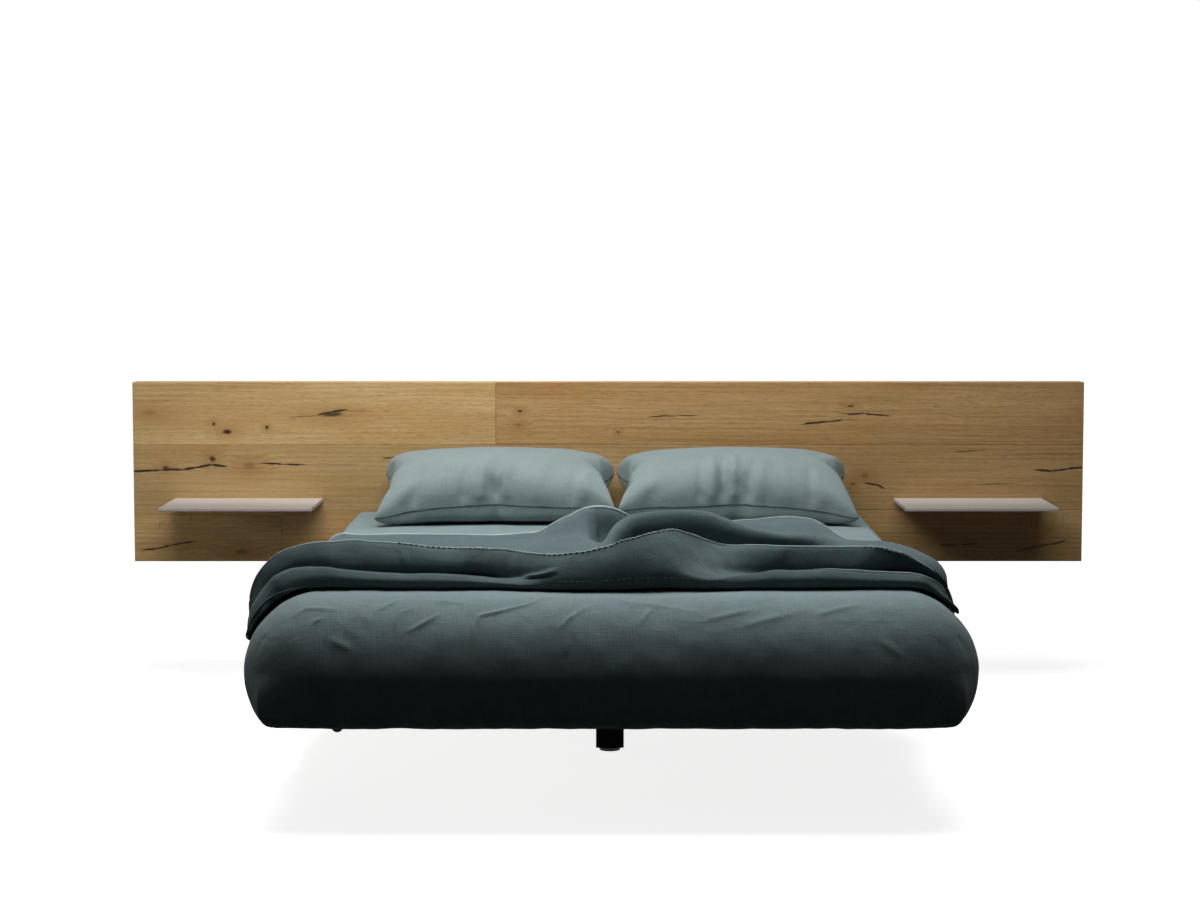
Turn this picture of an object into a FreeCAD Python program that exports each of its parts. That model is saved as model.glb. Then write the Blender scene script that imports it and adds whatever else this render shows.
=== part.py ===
import FreeCAD, Part
import math
import os

from FreeCAD import Placement, Rotation, Vector

# Wall-hung double bed: plank headboard with two shelves, steel base on one leg, soft bedding.
# Millimetres. +X is to the right seen from the foot, +Y to the wall and +Z up.
# The origin is on the floor under the middle of the bed's box.

# Headboard
headboard_width = 2960.0
headboard_height = 560.0
headboard_depth = 80.0
headboard_floor_gap = 380.0
plank_thickness = 20.0
plank_bevel = 1.0
plank_gap = 0.6
bottom_row_height = 161.0
middle_row_height = 204.0
top_joint_x = -350.0
middle_joint_x = 300.0
bottom_left_joint_x = -1020.0
bottom_right_joint_x = 550.0
carrier_thickness = 18.0
edge_board_thickness = 20.0

# Hanging cleat and spacer behind the headboard
cleat_length = 2400.0
cleat_height = 60.0
cleat_rise = 380.0
cleat_angle = 30.0
cleat_wall_gap = 2.0
wall_cleat_height = 100.0
wall_cleat_hole_radius = 4.0
wall_cleat_hole_drop = 65.0
wall_cleat_hole_end_inset = 200.0
wall_cleat_inner_spacing = 700.0
spacer_height = 50.0
cleat_screw_count = 7
cleat_screw_end_inset = 120.0

# Screws into wood
screw_radius = 2.5
screw_head_radius = 4.5
screw_head_height = 1.6
screw_bite = 12.0
screw_clearance = 0.1

# Shelves and their concealed clamps
shelf_width = 460.0
shelf_reach = 310.0
shelf_thickness = 10.0
shelf_rise = 198.5
shelf_end_inset = 130.0
shelf_edge_radius = 1.5
shelf_grip = 30.0
shelf_tongue_rebate = 1.0
shelf_slot_clearance = 0.3
clamp_side_inset = 10.0
clamp_height = 50.0
clamp_wall_gap = 4.0
clamp_screw_rise = 17.0
clamp_screw_side_inset = 40.0

# Mattress and base levels
mattress_width = 1600.0
mattress_length = 2000.0
mattress_height = 200.0
mattress_corner_radius = 110.0
mattress_top_radius = 105.0
mattress_bottom_radius = 24.0
head_gap = 8.0
seat_clearance = 0.3

# Steel base
rail_width = 40.0
rail_height = 50.0
rail_wall = 2.5
rail_corner_radius = 3.0
rail_floor_gap = 264.0
frame_inset = 50.0
frame_foot_inset = 60.0
plug_thickness = 2.0
plug_depth = 14.0
wall_bracket_thickness = 6.0
wall_bracket_depth = 70.0
wall_bolt_hole_radius = 5.5
wall_bolt_hole_drop = 33.0
wall_bolt_outer_spacing = 1300.0
wall_bolt_inner_spacing = 500.0
corner_bracket_leg = 50.0
corner_bracket_thickness = 4.0
corner_bracket_height = 36.0
corner_bracket_bolt_reach = 32.0
bracket_rail_bolt_count = 4
bracket_rail_bolt_end_inset = 120.0

# Bolts in steel
bolt_radius = 4.0
bolt_head_flats = 13.0
bolt_head_height = 5.0
bolt_tail = 6.0
bolt_clearance = 0.2

# Slats
slat_count = 12
slat_width = 90.0
slat_thickness = 15.0
slat_edge_radius = 3.0
slat_end_margin = 15.0
holder_base = 3.0
holder_wall = 4.0
holder_length = 40.0
holder_lip_drop = 4.0
holder_clearance = 0.3

# Leg and levelling foot
leg_width = 75.0
leg_wall = 3.0
leg_corner_radius = 4.0
leg_floor_gap = 12.0
leg_foot_offset = 63.0
leg_plate_width = 180.0
leg_plate_thickness = 6.0
leg_plate_bolt_reach = 65.0
insert_thickness = 20.0
insert_recess = 16.0
stem_radius = 8.0
stem_length = 75.0
stem_clearance = 0.3
nut_flats = 26.0
nut_height = 8.0
pad_radius = 29.0
pad_thickness = 6.0
pad_bevel = 1.5
glide_radius = 27.0
glide_thickness = 3.0

# Padded cover over mattress and base
cover_top_padding = 4.0
cover_head_padding = 6.0
cover_foot_padding = 36.0
cover_skirt_drop = 19.0
cover_base_clearance = 12.0
cover_head_bulge = 4.0
cover_foot_bulge = 57.0
cover_head_top_inset = 38.0
cover_foot_top_inset = 100.0
cover_head_hem_inset = 24.0
cover_foot_hem_inset = 10.0
cover_foot_roll = 150.0
cover_foot_side_roll = 92.0
cover_foot_top_roll = 100.0
cover_foot_hem_roll = 66.0
cover_head_wide_share = 0.70
cover_foot_wide_share = 0.43
cover_roll_angles = (0.0, 18.0, 36.0, 52.0, 64.0, 72.0)

# Blanket: a bunched cloth across the bed, with rolls that run from side to side
blanket_pillow_gap = 247.0
blanket_foot_inset = 160.0
blanket_clearance = 0.9
blanket_side_clearance = 5.0
blanket_hang = 235.0
blanket_corner_radius = 90.0
blanket_hem = 14.0
blanket_peak = 120.0
# Stations across the top, from the right end of its flat to the left end
blanket_top_shares = (1.0, 0.84, 0.64, 0.42, 0.26, 0.13, 0.0, -0.13, -0.30, -0.55, -0.80, -1.0)
# Where the folds meet, from the upper hem to the lower edge
blanket_valley_shares = (0.0, 0.25, 0.66, 0.86, 1.0)
# Heights by station, right hem to left hem: hem fold, hollow, ridge, hollow, cuff, hollow, lower roll
blanket_height_shares = (
    (0.03, 0.02, 0.18, 0.04, 0.07, 0.02, 0.04),
    (0.03, 0.04, 0.22, 0.05, 0.09, 0.03, 0.05),
    (0.03, 0.05, 0.24, 0.05, 0.12, 0.03, 0.06),
    (0.04, 0.03, 0.16, 0.05, 0.26, 0.04, 0.10),
    (0.04, 0.02, 0.12, 0.05, 0.46, 0.06, 0.20),
    (0.08, 0.06, 0.22, 0.08, 0.54, 0.08, 0.22),
    (0.36, 0.16, 0.34, 0.08, 0.54, 0.08, 0.22),
    (0.26, 0.14, 0.70, 0.12, 0.57, 0.10, 0.18),
    (0.18, 0.14, 0.97, 0.20, 0.82, 0.38, 0.40),
    (0.30, 0.14, 0.84, 0.22, 0.95, 0.66, 0.60),
    (0.76, 0.26, 0.30, 0.20, 0.66, 0.42, 0.44),
    (0.48, 0.20, 0.24, 0.10, 0.44, 0.14, 0.18),
    (0.10, 0.06, 0.12, 0.06, 0.44, 0.08, 0.14),
    (0.05, 0.02, 0.08, 0.05, 0.50, 0.06, 0.17),
    (0.05, 0.02, 0.08, 0.05, 0.62, 0.06, 0.26),
    (0.05, 0.02, 0.08, 0.05, 0.54, 0.06, 0.24),
    (0.05, 0.03, 0.10, 0.06, 0.42, 0.06, 0.14),
    (0.05, 0.03, 0.10, 0.06, 0.26, 0.05, 0.08),
    (0.04, 0.02, 0.09, 0.05, 0.20, 0.04, 0.06),
    (0.04, 0.02, 0.08, 0.04, 0.14, 0.02, 0.05),
)
# How far the hollows on both sides of the cuff shift towards the foot at each station
blanket_drift_shares = (
    0.0, 0.0, 0.0, 0.0, 0.0, 0.0, 0.0, 0.01, 0.06, 0.09, 0.05, 0.01, 0.0, 0.0, 0.0, 0.0, 0.0, 0.0, 0.0, 0.0
)

# Pillows
pillow_width = 700.0
pillow_depth = 430.0
pillow_gap = 15.0
pillow_pair_x = 22.5
pillow_head_gap = 43.0
pillow_tilt = 9.5
pillow_seam_rise = 100.0
pillow_crown = 115.0
pillow_belly = 120.0
pillow_side_draw = 26.0
pillow_corner_radius = 34.0
# Level as a share of belly (below the seam) or crown (above it), then the outline's size share
pillow_level_shares = (
    (-1.00, 0.50),
    (-0.62, 0.80),
    (-0.25, 0.95),
    (0.00, 1.00),
    (0.30, 0.94),
    (0.65, 0.80),
    (0.87, 0.60),
    (1.00, 0.32),
)

# Making
cut_overrun = 5.0
same_place = 0.001
arc_share = math.sqrt(0.5)
loft_degree = 2

# Places worked out from the sizes above
bed_length = headboard_depth + head_gap + cover_head_padding + mattress_length + cover_foot_padding
wall_y = bed_length / 2
headboard_front_y = wall_y - headboard_depth
carrier_front_y = headboard_front_y + plank_thickness
carrier_back_y = carrier_front_y + carrier_thickness
cavity_depth = wall_y - carrier_back_y
headboard_top_z = headboard_floor_gap + headboard_height
headboard_half = headboard_width / 2
cover_head_y = headboard_front_y - head_gap
mattress_head_y = cover_head_y - cover_head_padding
mattress_foot_y = mattress_head_y - mattress_length
mattress_half = mattress_width / 2
cover_foot_y = mattress_foot_y - cover_foot_padding

rail_top_z = rail_floor_gap + rail_height
slat_bottom_z = rail_top_z + holder_base
slat_top_z = slat_bottom_z + slat_thickness
mattress_bottom_z = slat_top_z + seat_clearance
mattress_top_z = mattress_bottom_z + mattress_height
cover_top_z = mattress_top_z + seat_clearance + cover_top_padding
cover_hem_z = rail_floor_gap - cover_skirt_drop

frame_half = mattress_half - frame_inset
head_rail_back_y = wall_y - wall_bracket_thickness
head_rail_front_y = head_rail_back_y - rail_width
foot_rail_front_y = mattress_foot_y + frame_foot_inset
foot_rail_back_y = foot_rail_front_y + rail_width
wall_bracket_bottom_z = rail_floor_gap - wall_bracket_thickness
leg_y = (mattress_head_y + mattress_foot_y) / 2 - leg_foot_offset
leg_top_z = rail_floor_gap - leg_plate_thickness

pillow_reach = pillow_depth / 2 * math.cos(math.radians(pillow_tilt))
pillow_y = headboard_front_y - pillow_head_gap - pillow_reach
blanket_upper_y = pillow_y - pillow_reach - blanket_pillow_gap
blanket_lower_y = mattress_foot_y + blanket_foot_inset

shelf_x = headboard_half - shelf_end_inset - shelf_width / 2
shelf_top_z = headboard_floor_gap + shelf_rise
shelf_bottom_z = shelf_top_z - shelf_thickness


def box(low, high):
    """Box between two corners."""
    size = [b - a for a, b in zip(low, high)]
    return Part.makeBox(*size, Vector(*low))


def edges_in_plane(shape, axis, place):
    """Edges that lie wholly in the plane where the axis ("X", "Y" or "Z") has one place."""
    return [
        edge
        for edge in shape.Edges
        if all(abs(getattr(vertex, axis) - place) < same_place for vertex in edge.Vertexes)
    ]


def edges_along(shape, axis):
    """Straight edges that run along an axis."""
    direction = {"X": Vector(1, 0, 0), "Y": Vector(0, 1, 0), "Z": Vector(0, 0, 1)}[axis]
    found = []
    for edge in shape.Edges:
        run = edge.Vertexes[-1].Point - edge.Vertexes[0].Point
        if run.cross(direction).Length < same_place:
            found.append(edge)
    return found


def tube(low, high, axis, wall, corner):
    """Rectangular tube between two corners, open at both ends along an axis."""
    outer = box(low, high)
    outer = outer.makeFillet(corner, edges_along(outer, axis))
    inner_low = [a + wall for a in low]
    inner_high = [b - wall for b in high]
    i = "XYZ".index(axis)
    inner_low[i] = low[i] - cut_overrun
    inner_high[i] = high[i] + cut_overrun
    return outer.cut(box(inner_low, inner_high))


def cylinder(radius, length, base, direction):
    return Part.makeCylinder(radius, length, Vector(*base), Vector(*direction))


def hex_prism(flats, height, base, direction):
    """Hexagonal prism that stands on base and grows along direction."""
    corner = flats / math.sqrt(3)
    turns = [math.radians(60 * k) for k in range(7)]
    outline = Part.makePolygon([Vector(corner * math.cos(t), corner * math.sin(t), 0) for t in turns])
    prism = Part.Face(outline).extrude(Vector(0, 0, height))
    turn = Rotation(Vector(0, 0, 1), Vector(*direction))
    prism.Placement = Placement(Vector(*base), turn)
    return prism


def bolt(seat, direction, grip):
    """Hex bolt whose head sits at seat and whose shank runs along direction."""
    back = [-d for d in direction]
    shank = cylinder(bolt_radius, grip + bolt_tail, seat, direction)
    return hex_prism(bolt_head_flats, bolt_head_height, seat, back).fuse(shank)


def bolt_hole(seat, direction, grip):
    start = [s - d * cut_overrun for s, d in zip(seat, direction)]
    length = cut_overrun + grip + bolt_tail
    return cylinder(bolt_radius + bolt_clearance, length, start, direction)


def screw(seat, direction, grip):
    """Flat-headed screw, with its head on the near side of seat."""
    start = [s - d * screw_head_height for s, d in zip(seat, direction)]
    head = cylinder(screw_head_radius, screw_head_height, start, direction)
    return head.fuse(cylinder(screw_radius, grip + screw_bite, seat, direction))


def screw_hole(seat, direction, grip):
    length = grip + screw_bite + screw_clearance
    return cylinder(screw_radius + screw_clearance, length, seat, direction)


def group(solids):
    return Part.makeCompound(solids)


def spread(low, high, count):
    """Evenly spaced places from low to high."""
    return [low + (high - low) * k / (count - 1) for k in range(count)]


def between(start, end, share):
    return start + (end - start) * share


def arc(a, through, b):
    return Part.Arc(Vector(*a), Vector(*through), Vector(*b)).toShape()


def line(a, b):
    return Part.LineSegment(Vector(*a), Vector(*b)).toShape()


def loft(sections):
    """Smooth solid through closed outlines; the low degree keeps it from swinging past them."""
    return Part.makeLoft(sections, True, False, False, loft_degree)


# Headboard


def plank(x0, x1, z0, z1):
    """One oak board of the front, with a fine bevel round its face; seams share one gap."""
    half_gap = plank_gap / 2
    low = (x0 + half_gap, headboard_front_y, z0 + half_gap)
    high = (x1 - half_gap, carrier_front_y, z1 - half_gap)
    board = box(low, high)
    return board.makeChamfer(plank_bevel, edges_in_plane(board, "Y", headboard_front_y))


def planks():
    left = -headboard_half - plank_gap / 2
    right = headboard_half + plank_gap / 2
    bottom = headboard_floor_gap - plank_gap / 2
    lower_seam = headboard_floor_gap + bottom_row_height
    upper_seam = lower_seam + middle_row_height
    top = headboard_top_z + plank_gap / 2
    return {
        "plank_top_left": plank(left, top_joint_x, upper_seam, top),
        "plank_top_right": plank(top_joint_x, right, upper_seam, top),
        "plank_middle_left": plank(left, middle_joint_x, lower_seam, upper_seam),
        "plank_middle_right": plank(middle_joint_x, right, lower_seam, upper_seam),
        "plank_bottom_left": plank(left, bottom_left_joint_x, bottom, lower_seam),
        "plank_bottom_centre": plank(bottom_left_joint_x, bottom_right_joint_x, bottom, lower_seam),
        "plank_bottom_right": plank(bottom_right_joint_x, right, bottom, lower_seam),
    }


def edge_boards():
    """Returns from the planks to the wall, round all four sides."""
    inner_half = headboard_half - edge_board_thickness
    inner_bottom = headboard_floor_gap + edge_board_thickness
    inner_top = headboard_top_z - edge_board_thickness
    front = carrier_front_y
    return {
        "edge_board_top": box((-headboard_half, front, inner_top), (headboard_half, wall_y, headboard_top_z)),
        "edge_board_bottom": box(
            (-headboard_half, front, headboard_floor_gap), (headboard_half, wall_y, inner_bottom)
        ),
        "edge_board_left": box((-headboard_half, front, inner_bottom), (-inner_half, wall_y, inner_top)),
        "edge_board_right": box((inner_half, front, inner_bottom), (headboard_half, wall_y, inner_top)),
    }


def carrier():
    half = headboard_half - edge_board_thickness
    low = (-half, carrier_front_y, headboard_floor_gap + edge_board_thickness)
    return box(low, (half, carrier_back_y, headboard_top_z - edge_board_thickness))


def prism_along_x(points, length):
    """Solid with an outline of (y, z) points, centred on X."""
    corners = [Vector(-length / 2, y, z) for y, z in points]
    outline = Part.makePolygon(corners + corners[:1])
    return Part.Face(outline).extrude(Vector(length, 0, 0))


cleat_slope = math.tan(math.radians(cleat_angle))
cleat_seat_z = headboard_floor_gap + cleat_rise
cleat_thickness = cavity_depth - cleat_wall_gap
wall_cleat_bottom_z = cleat_seat_z - wall_cleat_height
wall_cleat_hole_z = cleat_seat_z - wall_cleat_hole_drop


def seat_z(y):
    """Height of the sloped seat between the two cleats."""
    return cleat_seat_z - cleat_slope * (y - carrier_back_y)


def panel_cleat():
    back = carrier_back_y + cleat_thickness
    top = cleat_seat_z + cleat_height
    front = carrier_back_y
    points = [(front, seat_z(front)), (back, seat_z(back)), (back, top), (front, top)]
    return prism_along_x(points, cleat_length)


def wall_cleat():
    front = wall_y - cleat_thickness
    bottom = wall_cleat_bottom_z
    points = [(front, seat_z(front)), (wall_y, seat_z(wall_y)), (wall_y, bottom), (front, bottom)]
    cleat = prism_along_x(points, cleat_length)
    outer_spacing = cleat_length - 2 * wall_cleat_hole_end_inset
    for spacing in (outer_spacing, wall_cleat_inner_spacing):
        for x in (-spacing / 2, spacing / 2):
            start = (x, front - cut_overrun, wall_cleat_hole_z)
            length = cleat_thickness + 2 * cut_overrun
            cleat = cleat.cut(cylinder(wall_cleat_hole_radius, length, start, (0, 1, 0)))
    return cleat


def spacer():
    bottom = headboard_floor_gap + edge_board_thickness
    low = (-cleat_length / 2, carrier_back_y, bottom)
    return box(low, (cleat_length / 2, carrier_back_y + cleat_thickness, bottom + spacer_height))


def cleat_screw_seats():
    """Screws from behind through the panel cleat and the spacer into the carrier."""
    back = carrier_back_y + cleat_thickness
    end = cleat_length / 2 - cleat_screw_end_inset
    cleat_z = cleat_seat_z + cleat_height / 2
    spacer_z = headboard_floor_gap + edge_board_thickness + spacer_height / 2
    return [(x, back, z) for z in (cleat_z, spacer_z) for x in spread(-end, end, cleat_screw_count)]


# Shelves


def shelf(side):
    """Lacquered plate with a rebated tongue through the headboard into its clamp; side is -1 or 1."""
    middle = side * shelf_x
    low = (middle - shelf_width / 2, headboard_front_y - shelf_reach, shelf_bottom_z)
    high = (middle + shelf_width / 2, carrier_back_y + shelf_grip, shelf_top_z)
    plate = box(low, high)
    plate = plate.makeFillet(shelf_edge_radius, edges_in_plane(plate, "Y", low[1]))
    shoulder_y = headboard_front_y - shelf_slot_clearance
    rebate_low = (low[0] - cut_overrun, shoulder_y, shelf_top_z - shelf_tongue_rebate)
    return plate.cut(box(rebate_low, [end + cut_overrun for end in high]))


def shelf_slot(side):
    """Room for the shelf's tongue in the planks, the carrier and the clamp."""
    half = shelf_width / 2 + shelf_slot_clearance
    middle = side * shelf_x
    tongue_top_z = shelf_top_z - shelf_tongue_rebate
    low = (middle - half, headboard_front_y - cut_overrun, shelf_bottom_z - shelf_slot_clearance)
    high = (middle + half, carrier_back_y + shelf_grip, tongue_top_z + shelf_slot_clearance)
    return box(low, high)


def shelf_clamp(side):
    half = shelf_width / 2 - clamp_side_inset
    middle = side * shelf_x
    mid_z = (shelf_top_z + shelf_bottom_z) / 2
    low = (middle - half, carrier_back_y, mid_z - clamp_height / 2)
    high = (middle + half, wall_y - clamp_wall_gap, mid_z + clamp_height / 2)
    return box(low, high)


def clamp_screw_seats(side):
    mid_z = (shelf_top_z + shelf_bottom_z) / 2
    reach = shelf_width / 2 - clamp_side_inset - clamp_screw_side_inset
    return [
        (side * shelf_x + x, wall_y - clamp_wall_gap, mid_z + z)
        for x in (-reach, reach)
        for z in (-clamp_screw_rise, clamp_screw_rise)
    ]


def headboard_and_shelves():
    """Planks, carrier, clamps and cleats with the slots and screw holes that they share."""
    to_front = (0, -1, 0)
    clamp_grip = cavity_depth - clamp_wall_gap
    sides = {"left": -1, "right": 1}
    slots = group([shelf_slot(side) for side in sides.values()])
    clamp_seats = {name: clamp_screw_seats(side) for name, side in sides.items()}
    clamp_holes = {
        name: [screw_hole(seat, to_front, clamp_grip) for seat in seats]
        for name, seats in clamp_seats.items()
    }
    cleat_seats = cleat_screw_seats()
    cleat_holes = group([screw_hole(s, to_front, cleat_thickness) for s in cleat_seats])
    all_holes = group([cleat_holes] + clamp_holes["left"] + clamp_holes["right"])

    nodes = {name: board.cut(slots) for name, board in planks().items()}
    nodes.update(edge_boards())
    nodes["headboard_carrier"] = carrier().cut(slots).cut(all_holes)
    nodes["panel_cleat"] = panel_cleat().cut(cleat_holes)
    nodes["wall_cleat"] = wall_cleat()
    nodes["headboard_spacer"] = spacer().cut(cleat_holes)
    nodes["cleat_screws"] = group([screw(s, to_front, cleat_thickness) for s in cleat_seats])
    for name, side in sides.items():
        nodes["shelf_" + name] = shelf(side)
        nodes["shelf_clamp_" + name] = shelf_clamp(side).cut(shelf_slot(side)).cut(group(clamp_holes[name]))
    clamp_screws = [screw(s, to_front, clamp_grip) for seats in clamp_seats.values() for s in seats]
    nodes["shelf_clamp_screws"] = group(clamp_screws)
    return nodes


# Steel base

rail_mid_z = rail_floor_gap + rail_height / 2
cross_back_y = leg_y + rail_width / 2
cross_front_y = leg_y - rail_width / 2
spine_half = rail_width / 2
side_rail_inner_x = frame_half - rail_width


def rail(x0, x1, y0, y1, axis):
    return tube((x0, y0, rail_floor_gap), (x1, y1, rail_top_z), axis, rail_wall, rail_corner_radius)


def rails():
    return {
        "head_rail": rail(-frame_half, frame_half, head_rail_front_y, head_rail_back_y, "X"),
        "foot_rail": rail(-frame_half, frame_half, foot_rail_front_y, foot_rail_back_y, "X"),
        "side_rail_left": rail(-frame_half, -side_rail_inner_x, foot_rail_back_y, head_rail_front_y, "Y"),
        "side_rail_right": rail(side_rail_inner_x, frame_half, foot_rail_back_y, head_rail_front_y, "Y"),
        "spine_beam": rail(-spine_half, spine_half, foot_rail_back_y, head_rail_front_y, "Y"),
        "cross_beam_left": rail(-side_rail_inner_x, -spine_half, cross_front_y, cross_back_y, "X"),
        "cross_beam_right": rail(spine_half, side_rail_inner_x, cross_front_y, cross_back_y, "X"),
    }


def bracket_corners():
    """Inner corners of the frame as x, y and the two directions that lead away from them."""
    corners = []
    for side in (-1, 1):
        for x, away in ((side * side_rail_inner_x, -side), (side * spine_half, side)):
            corners.append((x, head_rail_front_y, away, -1))
            corners.append((x, foot_rail_back_y, away, 1))
            corners.append((x, cross_back_y, away, 1))
    return corners


def corner_bracket(corner):
    """Steel angle in an inner corner, one leg on each rail."""
    x, y, to_x, to_y = corner
    low_z = rail_mid_z - corner_bracket_height / 2
    high_z = rail_mid_z + corner_bracket_height / 2
    far_x = x + to_x * corner_bracket_leg
    far_y = y + to_y * corner_bracket_leg
    skin_x = x + to_x * corner_bracket_thickness
    skin_y = y + to_y * corner_bracket_thickness
    along_x = box((min(x, far_x), min(y, skin_y), low_z), (max(x, far_x), max(y, skin_y), high_z))
    along_y = box((min(x, skin_x), min(y, far_y), low_z), (max(x, skin_x), max(y, far_y), high_z))
    return along_x.fuse(along_y).removeSplitter()


def bracket_bolt_seats(corner):
    """Seat and direction of the two bolts of one corner bracket."""
    x, y, to_x, to_y = corner
    skin_x = x + to_x * corner_bracket_thickness
    skin_y = y + to_y * corner_bracket_thickness
    reach_x = x + to_x * corner_bracket_bolt_reach
    reach_y = y + to_y * corner_bracket_bolt_reach
    return [((reach_x, skin_y, rail_mid_z), (0, -to_y, 0)), ((skin_x, reach_y, rail_mid_z), (-to_x, 0, 0))]


def wall_bracket():
    """Steel angle on the wall: the head rail sits on its lower leg, the headboard on its top edge."""
    bottom = wall_bracket_bottom_z
    top = headboard_floor_gap
    upright = box((-frame_half, head_rail_back_y, bottom), (frame_half, wall_y, top))
    seat = box((-frame_half, wall_y - wall_bracket_depth, bottom), (frame_half, wall_y, rail_floor_gap))
    angle = upright.fuse(seat).removeSplitter()
    for spacing in (wall_bolt_outer_spacing, wall_bolt_inner_spacing):
        for x in (-spacing / 2, spacing / 2):
            start = (x, head_rail_back_y - cut_overrun, top - wall_bolt_hole_drop)
            length = wall_bracket_thickness + 2 * cut_overrun
            angle = angle.cut(cylinder(wall_bolt_hole_radius, length, start, (0, 1, 0)))
    return angle


def wall_bracket_bolt_seats():
    """Bolts from below through the wall bracket into the head rail."""
    end = frame_half - bracket_rail_bolt_end_inset
    y = (head_rail_front_y + head_rail_back_y) / 2
    places = spread(-end, end, bracket_rail_bolt_count)
    return [((x, y, wall_bracket_bottom_z), (0, 0, 1)) for x in places]


def leg_plate_bolt_seats():
    """Bolts from below: two into the spine and one into each cross beam."""
    reach = leg_plate_bolt_reach
    places = ((0, leg_y - reach), (0, leg_y + reach), (-reach, leg_y), (reach, leg_y))
    return [((x, y, leg_top_z), (0, 0, 1)) for x, y in places]


def end_plug(x_face, y0, to_x):
    """Plastic plug in an open tube end: a flat head and a body inside the walls."""
    low_x, high_x = sorted((x_face, x_face + to_x * plug_thickness))
    head = box((low_x, y0, rail_floor_gap), (high_x, y0 + rail_width, rail_top_z))
    low_x, high_x = sorted((x_face, x_face - to_x * plug_depth))
    low = (low_x, y0 + rail_wall, rail_floor_gap + rail_wall)
    high = (high_x, y0 + rail_width - rail_wall, rail_top_z - rail_wall)
    return head.fuse(box(low, high))


def base_frame():
    corners = bracket_corners()
    bracket_grip = corner_bracket_thickness + rail_wall
    flange_grip = wall_bracket_thickness + rail_wall
    plate_grip = leg_plate_thickness + rail_wall
    corner_seats = [seat for corner in corners for seat in bracket_bolt_seats(corner)]
    corner_holes = [bolt_hole(p, d, bracket_grip) for p, d in corner_seats]
    flange_holes = [bolt_hole(p, d, flange_grip) for p, d in wall_bracket_bolt_seats()]
    plate_holes = [bolt_hole(p, d, plate_grip) for p, d in leg_plate_bolt_seats()]
    holes = group(corner_holes + flange_holes + plate_holes)

    nodes = {name: shape.cut(holes) for name, shape in rails().items()}
    nodes["wall_bracket"] = wall_bracket().cut(group(flange_holes))
    nodes["corner_brackets"] = group([corner_bracket(c).cut(group(corner_holes)) for c in corners])
    bolts = [bolt(p, d, bracket_grip) for p, d in corner_seats]
    bolts += [bolt(p, d, flange_grip) for p, d in wall_bracket_bolt_seats()]
    nodes["frame_bolts"] = group(bolts)
    rail_fronts = (head_rail_front_y, foot_rail_front_y)
    plugs = [end_plug(side * frame_half, y, side) for side in (-1, 1) for y in rail_fronts]
    nodes["rail_end_plugs"] = group(plugs)
    nodes["leg_plate"] = leg_plate().cut(group(plate_holes))
    nodes["leg_plate_bolts"] = group([bolt(p, d, plate_grip) for p, d in leg_plate_bolt_seats()])
    return nodes


# Slats

slat_half = frame_half - holder_wall - holder_clearance
slat_first_y = foot_rail_back_y + slat_end_margin + slat_width / 2
slat_last_y = mattress_head_y - slat_end_margin - slat_width / 2
slat_ys = spread(slat_first_y, slat_last_y, slat_count)
slat_room_half = slat_width / 2 + holder_clearance
holder_top_z = slat_top_z - holder_lip_drop


def slat(y):
    low = (-slat_half, y - slat_width / 2, slat_bottom_z)
    board = box(low, (slat_half, y + slat_width / 2, slat_top_z))
    return board.makeFillet(slat_edge_radius, edges_along(board, "X"))


def slat_room(y):
    """Space that a slat takes in its holders, open at the top."""
    half = slat_half + holder_clearance
    return box((-half, y - slat_room_half, slat_bottom_z), (half, y + slat_room_half, slat_top_z))


def slat_holder(y, x0, x1):
    outer_half = slat_room_half + holder_wall
    cup = box((x0, y - outer_half, rail_top_z), (x1, y + outer_half, holder_top_z))
    return cup.cut(slat_room(y))


def slats():
    nodes = {"slat_%02d" % (k + 1): slat(y) for k, y in enumerate(slat_ys)}
    inner = frame_half - holder_length
    ends = [slat_holder(y, x0, x0 + holder_length) for y in slat_ys for x0 in (-frame_half, inner)]
    nodes["slat_holders"] = group(ends)
    nodes["slat_saddles"] = group([slat_holder(y, -spine_half, spine_half) for y in slat_ys])
    return nodes


# Leg and levelling foot

leg_half = leg_width / 2
leg_inner_half = leg_half - leg_wall
insert_bottom_z = leg_floor_gap + insert_recess
pad_top_z = glide_thickness + pad_thickness


def leg_plate():
    half = leg_plate_width / 2
    return box((-half, leg_y - half, leg_top_z), (half, leg_y + half, rail_floor_gap))


def leg():
    low = (-leg_half, leg_y - leg_half, leg_floor_gap)
    column = tube(low, (leg_half, leg_y + leg_half, leg_top_z), "Z", leg_wall, leg_corner_radius)
    low = (-leg_inner_half, leg_y - leg_inner_half, insert_bottom_z)
    insert = box(low, (leg_inner_half, leg_y + leg_inner_half, insert_bottom_z + insert_thickness))
    nut = hex_prism(nut_flats, nut_height, (0, leg_y, insert_bottom_z - nut_height), (0, 0, 1))
    thread = cylinder(stem_radius + stem_clearance, leg_top_z, (0, leg_y, 0), (0, 0, 1))
    return {"leg_column": column, "leg_insert": insert.cut(thread), "foot_lock_nut": nut.cut(thread)}


def foot():
    up = (0, 0, 1)
    pad = cylinder(pad_radius, pad_thickness, (0, leg_y, glide_thickness), up)
    pad = pad.makeChamfer(pad_bevel, edges_in_plane(pad, "Z", pad_top_z))
    return {
        "foot_stem": cylinder(stem_radius, stem_length, (0, leg_y, pad_top_z), up),
        "foot_pad": pad,
        "foot_glide": cylinder(glide_radius, glide_thickness, (0, leg_y, 0), up),
    }


# Mattress and cover


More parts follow.
